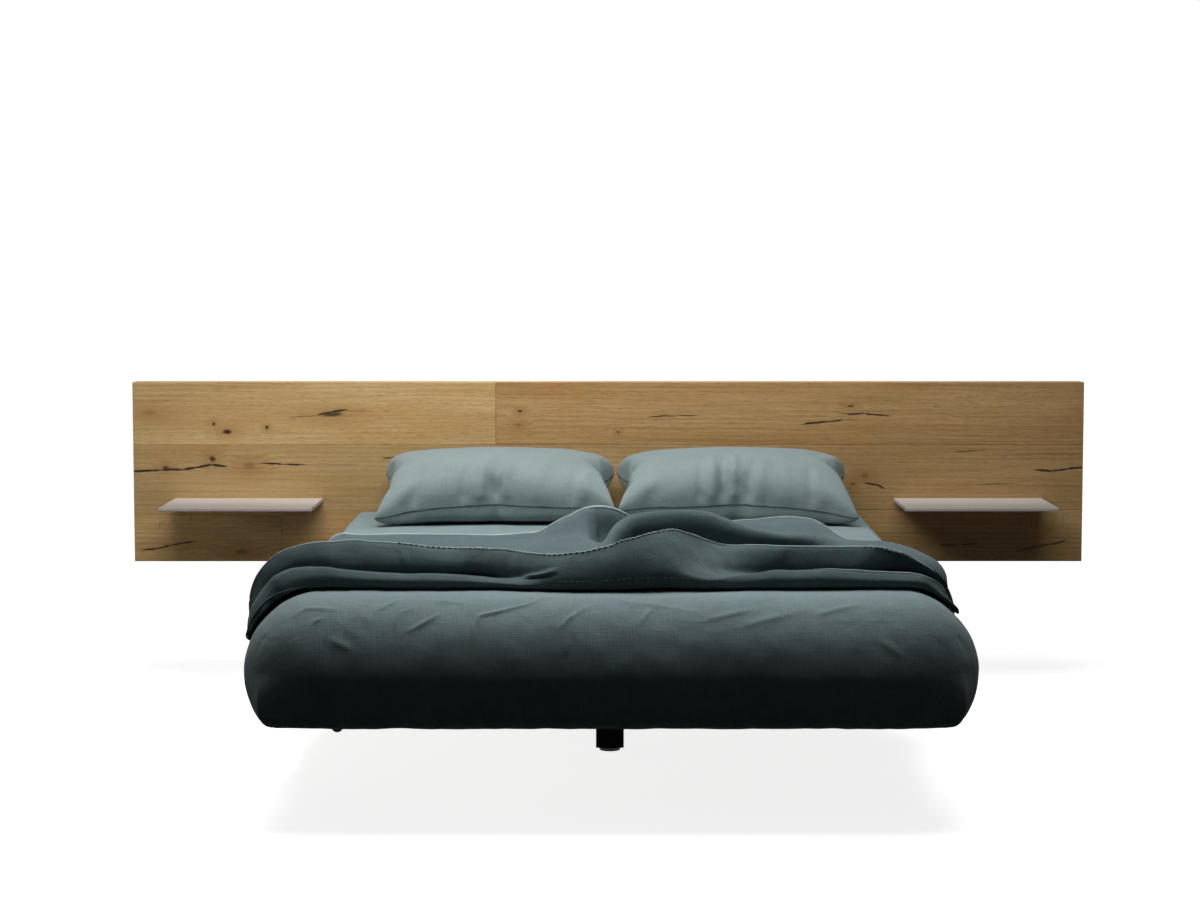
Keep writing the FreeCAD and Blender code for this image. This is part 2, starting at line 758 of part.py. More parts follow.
def mattress(room):
    """Rounded block, grown all round by room."""
    half = mattress_half + room
    bottom = mattress_bottom_z - room
    top = mattress_top_z + room
    block = box((-half, mattress_foot_y - room, bottom), (half, mattress_head_y + room, top))
    block = block.makeFillet(mattress_corner_radius + room, edges_along(block, "Z"))
    block = block.makeFillet(mattress_top_radius + room, edges_in_plane(block, "Z", top))
    return block.makeFillet(mattress_bottom_radius + room, edges_in_plane(block, "Z", bottom))


def cover_outline(y, top, wide, hem):
    """Cross-section of the cover: flat top, swollen sides and flat underside.

    top, wide and hem are (half width, height) of the right side's three corners.
    """
    over = (between(top[0], wide[0], arc_share), between(wide[1], top[1], arc_share))
    under = (between(hem[0], wide[0], arc_share), between(wide[1], hem[1], arc_share))
    edges = [line((-top[0], y, top[1]), (top[0], y, top[1]))]
    edges.append(arc((top[0], y, top[1]), (over[0], y, over[1]), (wide[0], y, wide[1])))
    edges.append(arc((wide[0], y, wide[1]), (under[0], y, under[1]), (hem[0], y, hem[1])))
    edges.append(line((hem[0], y, hem[1]), (-hem[0], y, hem[1])))
    edges.append(arc((-hem[0], y, hem[1]), (-under[0], y, under[1]), (-wide[0], y, wide[1])))
    edges.append(arc((-wide[0], y, wide[1]), (-over[0], y, over[1]), (-top[0], y, top[1])))
    return Part.Wire(edges)


def cover_station(share, roll):
    """Half widths and heights of one section: share runs head to foot, roll rounds the foot end."""
    height = cover_top_z - cover_hem_z
    wide_share = between(cover_head_wide_share, cover_foot_wide_share, share)
    side_roll = cover_foot_side_roll * roll
    wide_half = mattress_half + between(cover_head_bulge, cover_foot_bulge, share) - side_roll
    top_half = mattress_half - between(cover_head_top_inset, cover_foot_top_inset, share) - side_roll
    hem_half = mattress_half - between(cover_head_hem_inset, cover_foot_hem_inset, share) - side_roll
    top = (top_half, cover_top_z - cover_foot_top_roll * roll)
    hem = (hem_half, cover_hem_z + cover_foot_hem_roll * roll)
    return top, (wide_half, cover_hem_z + height * wide_share), hem


def bed_cover():
    roll_start_y = cover_foot_y + cover_foot_roll
    head = cover_outline(cover_head_y, *cover_station(0, 0))
    sections = []
    last_turn = math.radians(cover_roll_angles[-1])
    for angle in cover_roll_angles:
        turn = math.radians(angle)
        y = roll_start_y - cover_foot_roll * math.sin(turn) / math.sin(last_turn)
        roll = (1 - math.cos(turn)) / (1 - math.cos(last_turn))
        sections.append(cover_outline(y, *cover_station(1, roll)))
    swell = Part.makeLoft([head, sections[0]], True, True).fuse(loft(sections)).removeSplitter()
    half = frame_half + cover_base_clearance
    low = (-half, foot_rail_front_y - cover_base_clearance, cover_hem_z - cut_overrun)
    base_room = box(low, (half, cover_head_y + cut_overrun, mattress_bottom_z))
    return swell.cut(mattress(seat_clearance)).cut(base_room)


# Blanket


def blanket_path():
    """Stations across the bed as point and outward direction in X and Z, right hem to left hem."""
    top_z = cover_top_z + blanket_clearance
    side_x = mattress_half + cover_foot_bulge + blanket_side_clearance
    flat_x = side_x - blanket_corner_radius
    corner_z = top_z - blanket_corner_radius
    hem_z = top_z - blanket_hang
    lean = math.sqrt(0.5)
    corner = (flat_x + blanket_corner_radius * lean, corner_z + blanket_corner_radius * lean)
    right = [
        ((side_x, hem_z), (1, 0)),
        ((side_x, (hem_z + corner_z) / 2), (1, 0)),
        ((side_x, corner_z), (1, 0)),
        (corner, (lean, lean)),
    ]
    top = [((flat_x * share, top_z), (0, 1)) for share in blanket_top_shares]
    left = [((-x, z), (-nx, nz)) for (x, z), (nx, nz) in reversed(right)]
    return right + top + left


def blanket_section(point, outward, height_shares, drift):
    """Closed outline of one station: a flat inside and one arc for each fold outside."""

    def place(share, height):
        y = between(blanket_upper_y, blanket_lower_y, share)
        return (point[0] + outward[0] * height, y, point[1] + outward[1] * height)

    start, upper, *cuff_sides, end = blanket_valley_shares
    runs = [start, upper] + [share + drift for share in cuff_sides] + [end]
    valleys = [0, *height_shares[1::2], 0]
    ends = [place(run, blanket_hem + blanket_peak * share) for run, share in zip(runs, valleys)]
    edges = [line(place(0, 0), ends[0])]
    for k, crest in enumerate(height_shares[::2]):
        middle = (runs[k] + runs[k + 1]) / 2
        edges.append(arc(ends[k], place(middle, blanket_hem + blanket_peak * crest), ends[k + 1]))
    edges.append(line(ends[-1], place(1, 0)))
    edges.append(line(place(1, 0), place(0, 0)))
    return Part.Wire(edges)


def blanket():
    stations = zip(blanket_path(), blanket_height_shares, blanket_drift_shares)
    sections = [blanket_section(*place, heights, drift) for place, heights, drift in stations]
    return loft(sections)


# Pillows


def pillow_outline(z, size_share):
    """Plan outline at one level: rounded corners with sides drawn in between them."""
    half_x = pillow_width / 2 * size_share
    half_y = pillow_depth / 2 * size_share
    corner = pillow_corner_radius
    draw = pillow_side_draw * size_share
    tuck = corner * (1 - arc_share)
    right = half_x - corner
    back = half_y - corner
    edges = [
        arc((half_x, -back, z), (half_x - draw, 0, z), (half_x, back, z)),
        arc((half_x, back, z), (half_x - tuck, half_y - tuck, z), (right, half_y, z)),
        arc((right, half_y, z), (0, half_y - draw, z), (-right, half_y, z)),
        arc((-right, half_y, z), (tuck - half_x, half_y - tuck, z), (-half_x, back, z)),
        arc((-half_x, back, z), (draw - half_x, 0, z), (-half_x, -back, z)),
        arc((-half_x, -back, z), (tuck - half_x, tuck - half_y, z), (-right, -half_y, z)),
        arc((-right, -half_y, z), (0, draw - half_y, z), (right, -half_y, z)),
        arc((right, -half_y, z), (half_x - tuck, tuck - half_y, z), (half_x, -back, z)),
    ]
    return Part.Wire(edges)


def pillow(side):
    """Plump pillow that leans up towards the headboard and is flat where it lies on the bed."""
    sections = []
    for level, size_share in pillow_level_shares:
        z = level * (pillow_crown if level > 0 else pillow_belly)
        sections.append(pillow_outline(z, size_share))
    form = loft(sections)
    tilt = Rotation(Vector(1, 0, 0), pillow_tilt)
    x = pillow_pair_x + side * (pillow_width + pillow_gap) / 2
    form.Placement = Placement(Vector(x, pillow_y, cover_top_z + pillow_seam_rise), tilt)
    floor_low = (x - pillow_width, pillow_y - pillow_depth, cover_hem_z)
    floor_high = (x + pillow_width, pillow_y + pillow_depth, cover_top_z + seat_clearance)
    under = box(floor_low, floor_high)
    return form.cut(under)


def build():
    nodes = headboard_and_shelves()
    nodes.update(base_frame())
    nodes.update(slats())
    nodes.update(leg())
    nodes.update(foot())
    nodes["mattress"] = mattress(0)
    nodes["bed_cover"] = bed_cover()
    nodes["blanket"] = blanket()
    nodes["pillow_left"] = pillow(-1)
    nodes["pillow_right"] = pillow(1)
    return nodes


os.makedirs("parts", exist_ok=True)
for node_name, node_shape in build().items():
    node_shape.exportStep("parts/%s.step" % node_name)
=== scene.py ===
import math

import bmesh
import bpy
import numpy as np
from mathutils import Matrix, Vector, noise


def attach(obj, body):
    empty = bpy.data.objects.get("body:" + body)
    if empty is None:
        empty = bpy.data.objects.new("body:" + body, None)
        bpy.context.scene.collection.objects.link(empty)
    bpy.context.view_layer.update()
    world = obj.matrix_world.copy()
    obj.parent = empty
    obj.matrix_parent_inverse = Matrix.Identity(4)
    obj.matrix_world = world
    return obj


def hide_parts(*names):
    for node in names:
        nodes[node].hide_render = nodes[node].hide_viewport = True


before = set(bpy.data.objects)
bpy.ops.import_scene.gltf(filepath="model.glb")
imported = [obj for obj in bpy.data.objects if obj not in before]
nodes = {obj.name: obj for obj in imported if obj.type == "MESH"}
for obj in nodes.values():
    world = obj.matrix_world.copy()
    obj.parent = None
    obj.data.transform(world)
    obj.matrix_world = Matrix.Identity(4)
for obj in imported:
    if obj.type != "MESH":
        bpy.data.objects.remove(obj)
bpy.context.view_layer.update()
scene = bpy.context.scene
scene.view_settings.view_transform = "Standard"


# Camera, light and floor

photo_width, photo_height = 1200, 900
lens, sensor = 75.24, 36.0
camera_place = (-0.032, -6.805, 1.344)
camera_drop, camera_turn = math.radians(4.514), -0.0008
# Each lamp: name, place, target, width and depth, watts, colour
lamps = [
    ("key", (-0.70, -0.15, 2.15), (0.00, 0.95, 0.6), (1.8, 0.6), 20.0, (1.0, 0.98, 0.95)),
    ("overhead", (0.05, -0.24, 2.60), (0.05, -0.24, 0.5), (3.0, 1.8), 67.0, (0.95, 0.98, 1.0)),
    ("left_fill", (-2.8, 0.05, 0.75), (-1.15, 0.985, 0.45), (0.8, 0.6), 8.0, (1.0, 0.97, 0.93)),
]
white = (1.0, 1.0, 1.0, 1.0)
floor_reach = 60.0
# Grey of the floor to the camera and to other rays, and its glow by distance from the middle
floor_seen, floor_unseen = (0.9, 0.9, 0.9, 1.0), (0.03, 0.03, 0.03, 1.0)
glow_distances, glow_levels = (1.6, 4.0), (0.84, 1.0)
# Light of the sky from its low part to its high part
sky_colour = (0.92, 0.97, 1.0, 1.0)
sky_heights, sky_levels = (0.1, 0.9), (0.004, 0.06)


def add_object(name, data):
    made = bpy.data.objects.new(name, data)
    bpy.context.collection.objects.link(made)
    return made


def add_camera():
    data = bpy.data.cameras.new("photo_camera")
    data.lens = lens
    data.sensor_width = sensor
    camera = add_object("photo_camera", data)
    camera.location = camera_place
    camera.rotation_euler = (math.pi / 2 - camera_drop, 0.0, camera_turn)
    scene.camera = camera


def seen_at(px, py, y):
    """Point at one depth that a pixel of the photo shows."""
    camera = scene.camera
    focal = lens / sensor * photo_width
    aim = Vector(((px - photo_width / 2) / focal, (photo_height / 2 - py) / focal, -1.0))
    ray = camera.rotation_euler.to_matrix() @ aim
    return camera.location + ray * ((y - camera.location.y) / ray.y)


def add_lamp(name, place, target, size, power, colour):
    data = bpy.data.lights.new(name, "AREA")
    data.shape = "RECTANGLE"
    data.size, data.size_y = size
    data.energy = power
    data.color = colour
    lamp = add_object(name, data)
    lamp.location = place
    lamp.rotation_euler = (Vector(target) - Vector(place)).to_track_quat("-Z", "Y").to_euler()


class Shader:
    """Nodes of one material or world, and short calls that add them."""

    def __init__(self, owner):
        self.owner = owner
        owner.use_nodes = True
        self.tree = owner.node_tree

    def node(self, kind, values=(), **settings):
        made = self.tree.nodes.new("ShaderNode" + kind)
        for key, value in settings.items():
            setattr(made, key, value)
        for socket, value in dict(values).items():
            self.put(made.inputs[socket], value)
        return made

    def put(self, socket, value):
        if isinstance(value, bpy.types.NodeSocket):
            self.tree.links.new(value, socket)
        else:
            socket.default_value = value

    def axes(self, vector):
        return self.node("SeparateXYZ", {0: vector}).outputs

    def length(self, vector):
        return self.node("VectorMath", {0: vector}, operation="LENGTH").outputs["Value"]

    def away(self, vector, middle, half_sizes, turn=0.0):
        """Distance from a middle, as a share of the half sizes round it."""
        values = {"Vector": vector, "Location": middle, "Rotation": (0, turn, 0), "Scale": half_sizes}
        return self.length(self.node("Mapping", values, vector_type="TEXTURE").outputs[0])

    def noise(self, vector, scale, detail=2.0, rough=0.5, distort=0.0):
        values = {"Vector": vector, "Scale": scale, "Detail": detail}
        values.update({"Roughness": rough, "Distortion": distort})
        return self.node("TexNoise", values).outputs[0]

    def streaks(self, vector, scale, detail=2.0, rough=0.5, distort=0.0, shift=(0, 0, 0)):
        """Noise with a scale of its own for each axis."""
        values = {"Vector": vector, "Scale": scale, "Location": shift}
        return self.noise(self.node("Mapping", values).outputs[0], 1.0, detail, rough, distort)

    def calc(self, operation, first, second=0.0, third=0.0):
        return self.node("Math", {0: first, 1: second, 2: third}, operation=operation).outputs[0]

    def product(self, first, second, more=0.0):
        """Product of two values, with more added."""
        return self.calc("MULTIPLY_ADD", first, second, more)

    def span(self, value, low, high, start=0.0, end=1.0):
        values = {"Value": value, 1: low, 2: high, 3: start, 4: end}
        return self.node("MapRange", values, interpolation_type="SMOOTHSTEP").outputs[0]

    def ramp(self, value, stops):
        made = self.node("ValToRGB", {0: value})
        bar = made.color_ramp.elements
        while len(bar) < len(stops):
            bar.new(0.5)
        for element, (place, colour) in zip(bar, stops):
            element.position = place
            element.color = (*colour, 1.0)
        return made.outputs[0]

    def mix(self, share, first, second):
        """First colour where the share is 0 and second colour where it is 1."""
        made = self.node("Mix", data_type="RGBA")
        self.put(made.inputs[0], share)
        for socket, value in ((made.inputs[6], first), (made.inputs[7], second)):
            self.put(socket, (*value, 1.0) if isinstance(value, tuple) else value)
        return made.outputs[2]

    def blend(self, value, low, high, first, second):
        return self.mix(self.span(value, low, high), first, second)

    def bump(self, height, distance, strength=1.0, under=None):
        made = self.node("Bump", {"Height": height, "Distance": distance, "Strength": strength})
        if under is not None:
            self.put(made.inputs["Normal"], under)
        return made.outputs[0]

    def finish(self, colour, rough, normal, **constants):
        surface = self.tree.nodes["Principled BSDF"].inputs
        self.put(surface["Base Color"], colour)
        self.put(surface["Roughness"], rough)
        self.put(surface["Normal"], normal)
        for socket, value in constants.items():
            surface[socket.replace("_", " ")].default_value = value
        return self.owner

    def split(self, output, light, seen):
        """Ends in one shader as light, and in another for the camera, reflections and glass."""
        path = self.node("LightPath").outputs
        direct = self.calc("MAXIMUM", path["Is Camera Ray"], path["Is Transmission Ray"])
        direct = self.calc("MAXIMUM", direct, path["Is Glossy Ray"])
        both = self.node("MixShader", {0: direct, 1: light, 2: seen}).outputs[0]
        self.tree.links.new(both, self.tree.nodes[output].inputs["Surface"])


def start(name):
    """New material, and its place on the object, which is the place in the shared frame."""
    s = Shader(bpy.data.materials.new(name))
    return s, s.node("TexCoord").outputs["Object"]


def add_floor():
    """Floor that is white to the camera, keeps the shadow and throws little light back."""
    mesh = bpy.data.meshes.new("floor")
    corners = [(-1, -1), (1, -1), (1, 1), (-1, 1)]
    mesh.from_pydata([(floor_reach * x, floor_reach * y, 0) for x, y in corners], [], [(0, 1, 2, 3)])
    floor = add_object("floor", mesh)
    s, place = start("floor_white")
    lit = s.node("BsdfDiffuse", {"Color": floor_seen}).outputs[0]
    level = s.span(s.length(place), *glow_distances, *glow_levels)
    glow = s.node("Emission", {"Color": white, "Strength": level}).outputs[0]
    bright = s.node("AddShader", {0: lit, 1: glow}).outputs[0]
    dim = s.node("BsdfDiffuse", {"Color": floor_unseen}).outputs[0]
    s.split("Material Output", dim, bright)
    mesh.materials.append(s.owner)


def add_world():
    """White to the camera; as light, a soft sky that is brighter above."""
    scene.world = bpy.data.worlds.new("studio")
    s = Shader(scene.world)
    up = s.axes(s.node("TexCoord").outputs["Generated"])["Z"]
    level = s.span(up, *sky_heights, *sky_levels)
    sky = s.node("Background", {"Color": sky_colour, "Strength": level}).outputs[0]
    bright = s.node("Background", {"Color": white, "Strength": 1.0}).outputs[0]
    s.split("World Output", sky, bright)


add_camera()
add_floor()
add_world()
for lamp in lamps:
    add_lamp(*lamp)


# Cloth, lacquer, metal and plastic

headboard_front, shelf_front = 0.985, 0.675
thread_pitch, stripe_pitch = 0.0024, 0.03
# Slubs along a thread and across it, and where those of the other threads start
slub_scale, slub_shift = (16.0, 330.0), (3.1, 7.7, 0.0)
wash_share = 0.35
linen_shine = {
    "Sheen_Weight": 0.25, "Sheen_Roughness": 0.5, "Sheen_Tint": (0.8, 0.9, 0.92, 1.0),
    "Specular_IOR_Level": 0.03,
}


def times(values, share):
    """Each value, such as a part of a colour, times the share."""
    return tuple(share * value for value in values)


def tinted(colour, shares):
    return tuple(share * part for share, part in zip(shares, colour))


def cloth(name, pale, deep, slub_share=0.8):
    """Linen: threads both ways from the UV map in metres, with slubs, wash marks and soft sheen."""
    s, place = start(name)
    uv = s.node("UVMap").outputs[0]
    along = s.streaks(uv, (*slub_scale, 1.0), 3.0, 0.6)
    across = s.streaks(uv, (*slub_scale[::-1], 1.0), 3.0, 0.6, shift=slub_shift)
    slubs = s.product(along, 0.5, s.product(across, 0.5))
    wash = s.noise(place, 7.0, 3.0, 0.55)
    tone = s.product(slubs, slub_share, s.product(wash, wash_share))
    middle = 0.5 * (slub_share + wash_share)
    colour = s.blend(tone, middle - 0.255, middle + 0.265, deep, pale)
    parts = s.axes(uv)
    warp, weft = (s.calc("SINE", s.product(parts[axis], 2.0 * math.pi / thread_pitch)) for axis in "XY")
    raised = s.product(slubs, 2.2, s.product(s.product(warp, weft), 0.25))
    fine = s.bump(raised, 0.0011, 0.75)
    crumple = s.noise(place, 26.0, 3.0, 0.5, 0.6)
    rough = s.span(slubs, 0.2, 0.8, 0.94, 0.8)
    return s.finish(colour, rough, s.bump(crumple, 0.006, 0.35, fine), **linen_shine)


def plain_thread(name, colour):
    """Sewing thread: a fine twist along the stitch, and soiled spots."""
    s, place = start(name)
    twist = s.streaks(place, (900.0, 300.0, 900.0))
    shade = s.blend(twist, 0.3, 0.7, times(colour, 0.75), colour)
    soiled = s.span(s.noise(place, 34.0), 0.34, 0.56, 0.75, 0.0)
    shade = s.mix(soiled, shade, times(colour, 0.25))
    return s.finish(shade, 0.8, s.bump(twist, 0.0004), Sheen_Weight=0.2, Specular_IOR_Level=0.05)


def lacquer(name, colour):
    """Satin spray lacquer of the shelves: faint orange peel and dust, with painted shade towards the front
    and a painted highlight on the front edge.
    """
    s, place = start(name)
    cloud = s.noise(place, 5.0, 4.0, 0.6)
    dust = s.span(s.noise(place, 900.0), 0.66, 0.8, 0.0, 0.35)
    shade = s.blend(cloud, 0.3, 0.7, times(colour, 0.93), colour)
    shade = s.mix(dust, shade, times(colour, 0.8))
    # Painted shade: darker towards the front; painted highlight: a paler front edge
    depth = s.axes(place)["Y"]
    shade = s.blend(depth, shelf_front - 0.015, shelf_front + 0.27, times(colour, 0.5), shade)
    edge = s.span(depth, shelf_front + 0.0002, shelf_front + 0.0016, 1.0, 0.0)
    shade = s.mix(edge, shade, times(colour, 0.72))
    peel = s.bump(s.noise(place, 420.0), 0.0004, 0.35)
    return s.finish(shade, s.span(cloud, 0.2, 0.8, 0.36, 0.46), peel, Specular_IOR_Level=0.2)


def powder_coat(name, colour):
    """Fine-textured powder coat with paler rubbed spots."""
    s, place = start(name)
    grit = s.bump(s.noise(place, 1400.0, 2.0, 0.6), 0.0006, 0.5)
    rub = s.noise(place, 18.0, 5.0, 0.65)
    rubbed = tuple(2.2 * part + 0.004 for part in colour)
    shade = s.mix(s.span(rub, 0.55, 0.8, 0.0, 0.6), colour, rubbed)
    return s.finish(shade, s.span(rub, 0.3, 0.8, 0.62, 0.48), grit, Specular_IOR_Level=0.02)


def moulded(name, colour):
    """Moulded plastic with a spark-eroded grain and flow marks."""
    s, place = start(name)
    grain = s.bump(s.noise(place, 1100.0, 3.0, 0.6), 0.0004, 0.4)
    flow = s.streaks(place, (30.0, 8.0, 30.0), 3.0)
    shade = s.blend(flow, 0.3, 0.7, colour, times(colour, 1.5))
    return s.finish(shade, s.span(flow, 0.3, 0.7, 0.5, 0.62), grain)


def zinc(name):
    """Bright zinc plate: fine turning lines, spangle and dull patches."""
    s, place = start(name)
    spangle = s.noise(place, 160.0, 4.0, 0.7)
    lines = s.bump(s.streaks(place, (60.0, 60.0, 1800.0)), 0.0002, 0.4)
    shade = s.blend(spangle, 0.35, 0.7, (0.52, 0.53, 0.55), (0.70, 0.71, 0.72))
    return s.finish(shade, s.span(spangle, 0.3, 0.7, 0.28, 0.45), lines, Metallic=1.0)


def felt(name):
    """Pressed felt: tangled fibres in clumps."""
    s, place = start(name)
    fibre = s.noise(place, 1500.0, 5.0, 0.8, 1.5)
    clump = s.noise(place, 220.0, 3.0)
    shade = s.mix(s.product(fibre, clump), (0.02, 0.02, 0.021), (0.16, 0.16, 0.165))
    return s.finish(shade, 0.95, s.bump(fibre, 0.0012, 0.7), Sheen_Weight=0.4)


def ticking(name):
    """Mattress ticking: dark woven stripes on a pale ground."""
    s, place = start(name)
    stripe = s.calc("SINE", s.product(s.axes(place)["X"], 2.0 * math.pi / stripe_pitch))
    thread = s.streaks(place, (700.0, 90.0, 700.0))
    ground = s.blend(thread, 0.3, 0.7, (0.50, 0.50, 0.46), (0.66, 0.65, 0.61))
    shade = s.blend(stripe, 0.82, 0.9, ground, (0.20, 0.24, 0.28))
    return s.finish(shade, 0.9, s.bump(thread, 0.0008, 0.6), Sheen_Weight=0.2)


# Wood

# Scale of the grain of beech and plywood, which runs across the bed
grain_scale = (2.0, 60.0, 60.0)
oak_shift = (3.7, 1.3, 2.1)
knot_black = (0.016, 0.010, 0.006)
# Half depth of knots and cracks, which run through the board
through = 1000.0


def close_wood(name, pale, deep):
    """Beech or plywood face: fine straight grain with flecks."""
    s, place = start(name)
    grain = s.streaks(place, grain_scale, 4.0, 0.65, 0.4)
    fleck = s.streaks(place, times(grain_scale, 9.0))
    shade = s.blend(grain, 0.3, 0.7, deep, pale)
    shade = s.mix(s.span(fleck, 0.62, 0.72, 0.0, 0.5), shade, times(deep, 0.55))
    return s.finish(shade, s.span(grain, 0.3, 0.7, 0.62, 0.5), s.bump(fleck, 0.0004, 0.5))


def oak(name, seed, tones, knots=(), cracks=(), upright=False):
    """Brushed wild oak: wavy growth lines, pores, knots and filled cracks, all in frame places.

    A knot is x, z, half length, half height and darkness. A crack is a path of pixels of the photo, its
    half height and its darkness.
    """
    pale, mid, deep = tones
    s, place = start(name)
    if upright:
        x, y, z = s.axes(place)
        place = s.node("CombineXYZ", {0: z, 1: y, 2: x}).outputs[0]

    def grain(scale, detail=2.0, rough=0.5, distort=0.0):
        return s.streaks(place, scale, detail, rough, distort, times(oak_shift, seed))

    growth = s.product(s.axes(place)["Z"], 420.0, s.product(grain((1.3, 1.3, 4.0)), 22.0))
    # Knots and cracks get a ragged outline
    push = s.product(grain((26.0, 26.0, 120.0), 3.0, 0.6), 0.010, -0.005)
    aside = s.node("CombineXYZ", {0: push, 2: push}).outputs[0]
    ragged = s.node("VectorMath", {0: place, 1: aside}, operation="ADD").outputs[0]
    core, halo = 0.0, 0.0
    for x, z, half_length, half_height, darkness in knots:
        away = s.away(ragged, (x, 0, z), (half_length, through, half_height))
        core = s.calc("MAXIMUM", core, s.span(away, 0.35, 1.0, darkness, 0.0))
        bend = s.span(away, 0.6, 4.2, 1.0, 0.0)
        halo = s.calc("MAXIMUM", halo, bend)
        growth = s.product(bend, 9.0, growth)
    for spots, half_height, darkness in cracks:
        ends = [seen_at(px, py, headboard_front) for px, py in spots]
        for first, last in zip(ends[:-1], ends[1:]):
            run, middle = last - first, (first + last) / 2
            half_sizes = (0.68 * run.length + half_height, through, half_height)
            away = s.away(ragged, (middle.x, 0, middle.z), half_sizes, -math.atan2(run.z, run.x))
            core = s.calc("MAXIMUM", core, s.span(away, 0.55, 1.0, darkness, 0.0))
    patchy = s.span(grain((1.1, 4.0, 12.0)), 0.35, 0.7)
    waves = s.product(s.calc("SINE", growth), patchy)
    lines = grain((2.6, 20.0, 150.0), 5.0, 0.62, 0.25)
    pores = s.span(grain((38.0, 200.0, 900.0)), 0.56, 0.68)
    broad = grain((0.9, 3.0, 9.0), 3.0, 0.55)
    figure = s.product(broad, 0.6, s.product(waves, 0.08, s.product(lines, 0.62, 0.14)))
    shade = s.ramp(s.span(figure, 0.40, 1.10), [(0.0, deep), (0.45, mid), (1.0, pale)])
    warm = s.span(grain((1.7, 3.0, 8.0), 3.0, 0.6), 0.46, 0.72, 0.0, 0.55)
    shade = s.mix(warm, shade, tinted(mid, (0.95, 0.80, 0.62)))
    shade = s.mix(s.product(pores, 0.45), shade, times(deep, 0.42))
    shade = s.mix(s.product(halo, 0.55), shade, tinted(mid, (0.74, 0.60, 0.48)))
    shade = s.mix(core, shade, knot_black)
    worn = s.bump(s.product(core, -1.4, s.product(pores, -0.6, figure)), 0.0012, 0.5)
    return s.finish(shade, s.span(figure, 0.3, 1.1, 0.62, 0.50), worn, Specular_IOR_Level=0.15)


def dress(material, *names):
    """Gives CAD nodes a material in place of their own."""
    for name in names:
        mesh = nodes[name].data
        mesh.materials.clear()
        mesh.materials.append(material)


def saw_marks(strokes, darkness):
    """Upright strokes of photo pixels as cracks: each is px, py and how many pixels it runs down."""
    return [([(px, py), (px - 1, py + fall)], 0.0014, darkness) for px, py, fall in strokes]


# Pale, middle and deep tone of the oak
honey = ((0.590, 0.415, 0.205), (0.470, 0.308, 0.132), (0.320, 0.192, 0.074))
brown = ((0.550, 0.365, 0.168), (0.425, 0.260, 0.108), (0.285, 0.165, 0.063))
amber = ((0.495, 0.348, 0.172), (0.394, 0.258, 0.111), (0.268, 0.161, 0.062))
umber = ((0.473, 0.314, 0.144), (0.366, 0.224, 0.093), (0.245, 0.142, 0.054))
russet = ((0.500, 0.325, 0.150), (0.390, 0.230, 0.092), (0.265, 0.144, 0.054))
# Tones, knots and cracks of each plank
plank_tones = {
    "top_left": honey, "top_right": russet, "middle_left": amber, "middle_right": umber,
    "bottom_left": honey, "bottom_centre": brown, "bottom_right": brown,
}
plank_knots = {
    "top_left": [
        (-1.187, 0.785, 0.020, 0.010, 0.95), (-0.861, 0.841, 0.046, 0.012, 0.85),
        (-1.228, 0.810, 0.007, 0.006, 0.9), (-1.063, 0.800, 0.008, 0.007, 0.95),
        (-1.43, 0.845, 0.03, 0.012, 0.25),
    ],
    "top_right": [
        (-0.274, 0.850, 0.010, 0.007, 0.8), (0.754, 0.866, 0.014, 0.004, 0.85),
        (0.030, 0.785, 0.006, 0.004, 0.8), (-0.280, 0.807, 0.012, 0.008, 0.35),
    ],
    "middle_left": [
        (-1.380, 0.673, 0.014, 0.008, 0.85), (-1.234, 0.701, 0.014, 0.014, 0.9),
        (-1.119, 0.679, 0.026, 0.014, 0.3),
    ],
    "middle_right": [(0.764, 0.622, 0.008, 0.005, 0.8), (0.800, 0.648, 0.016, 0.010, 0.35)],
    "bottom_left": [(-1.144, 0.410, 0.030, 0.012, 0.45)],
    "bottom_right": [(1.38, 0.480, 0.008, 0.005, 0.5)],
}
left_strokes = [(160.5, 519, 9), (164.0, 519, 7), (171.6, 515, 10), (175.0, 518, 6), (192.0, 513, 8)]
right_strokes = [(1032.0, 520, 8), (1037.5, 517, 10), (1045.0, 519, 7), (1054.5, 515, 9), (1064.0, 514, 9)]
plank_cracks = {
    "top_left": [
        ([(318, 415), (331, 412), (346, 410)], 0.0045, 0.9), ([(292, 417), (318, 416)], 0.0025, 0.35),
        ([(347, 411), (372, 411)], 0.0025, 0.35),
    ],
    "top_right": [
        ([(650, 417), (678, 416), (696, 415.5)], 0.0028, 0.8),
        ([(803, 424), (831, 421.4), (842, 420)], 0.0036, 0.95),
        ([(843, 414), (865, 413.8), (888, 416)], 0.0030, 0.95), ([(842, 420), (858, 419)], 0.002, 0.5),
    ],
    "middle_left": [
        ([(129, 471.4), (162, 470), (183, 469.5), (196.5, 467.2), (211.8, 464.7), (226, 466)], 0.0050, 0.97),
        ([(262, 463.2), (283, 464), (304, 464.6)], 0.0036, 0.95),
        ([(304, 464.6), (360, 464)], 0.0022, 0.4), ([(383, 458), (393, 457.6)], 0.0030, 0.85),
    ],
    "middle_right": [
        ([(1036, 470), (1053, 470.8), (1068, 469), (1083, 467.4)], 0.0048, 0.97),
        ([(955, 451.8), (986, 450.4)], 0.0028, 0.6), ([(980, 484.4), (1015, 483.2)], 0.0028, 0.55),
        ([(866, 483.2), (876, 484.6), (884, 488)], 0.0042, 0.9), ([(985, 440), (1010, 441)], 0.003, 0.4),
    ],
    "bottom_left": [
        ([(144, 550), (158, 548.4), (172, 545), (194, 541.2)], 0.0042, 0.95), *saw_marks(left_strokes, 0.55),
    ],
    "bottom_right": [
        ([(942, 545.2), (958, 545), (975, 543.4)], 0.0048, 0.97),
        ([(1016, 551), (1036, 546.6), (1050, 544.6), (1065, 541.2)], 0.0042, 0.95),
        *saw_marks(right_strokes, 0.5),
    ],
}
edge_seed, upright_seed = 8.0, 9.0

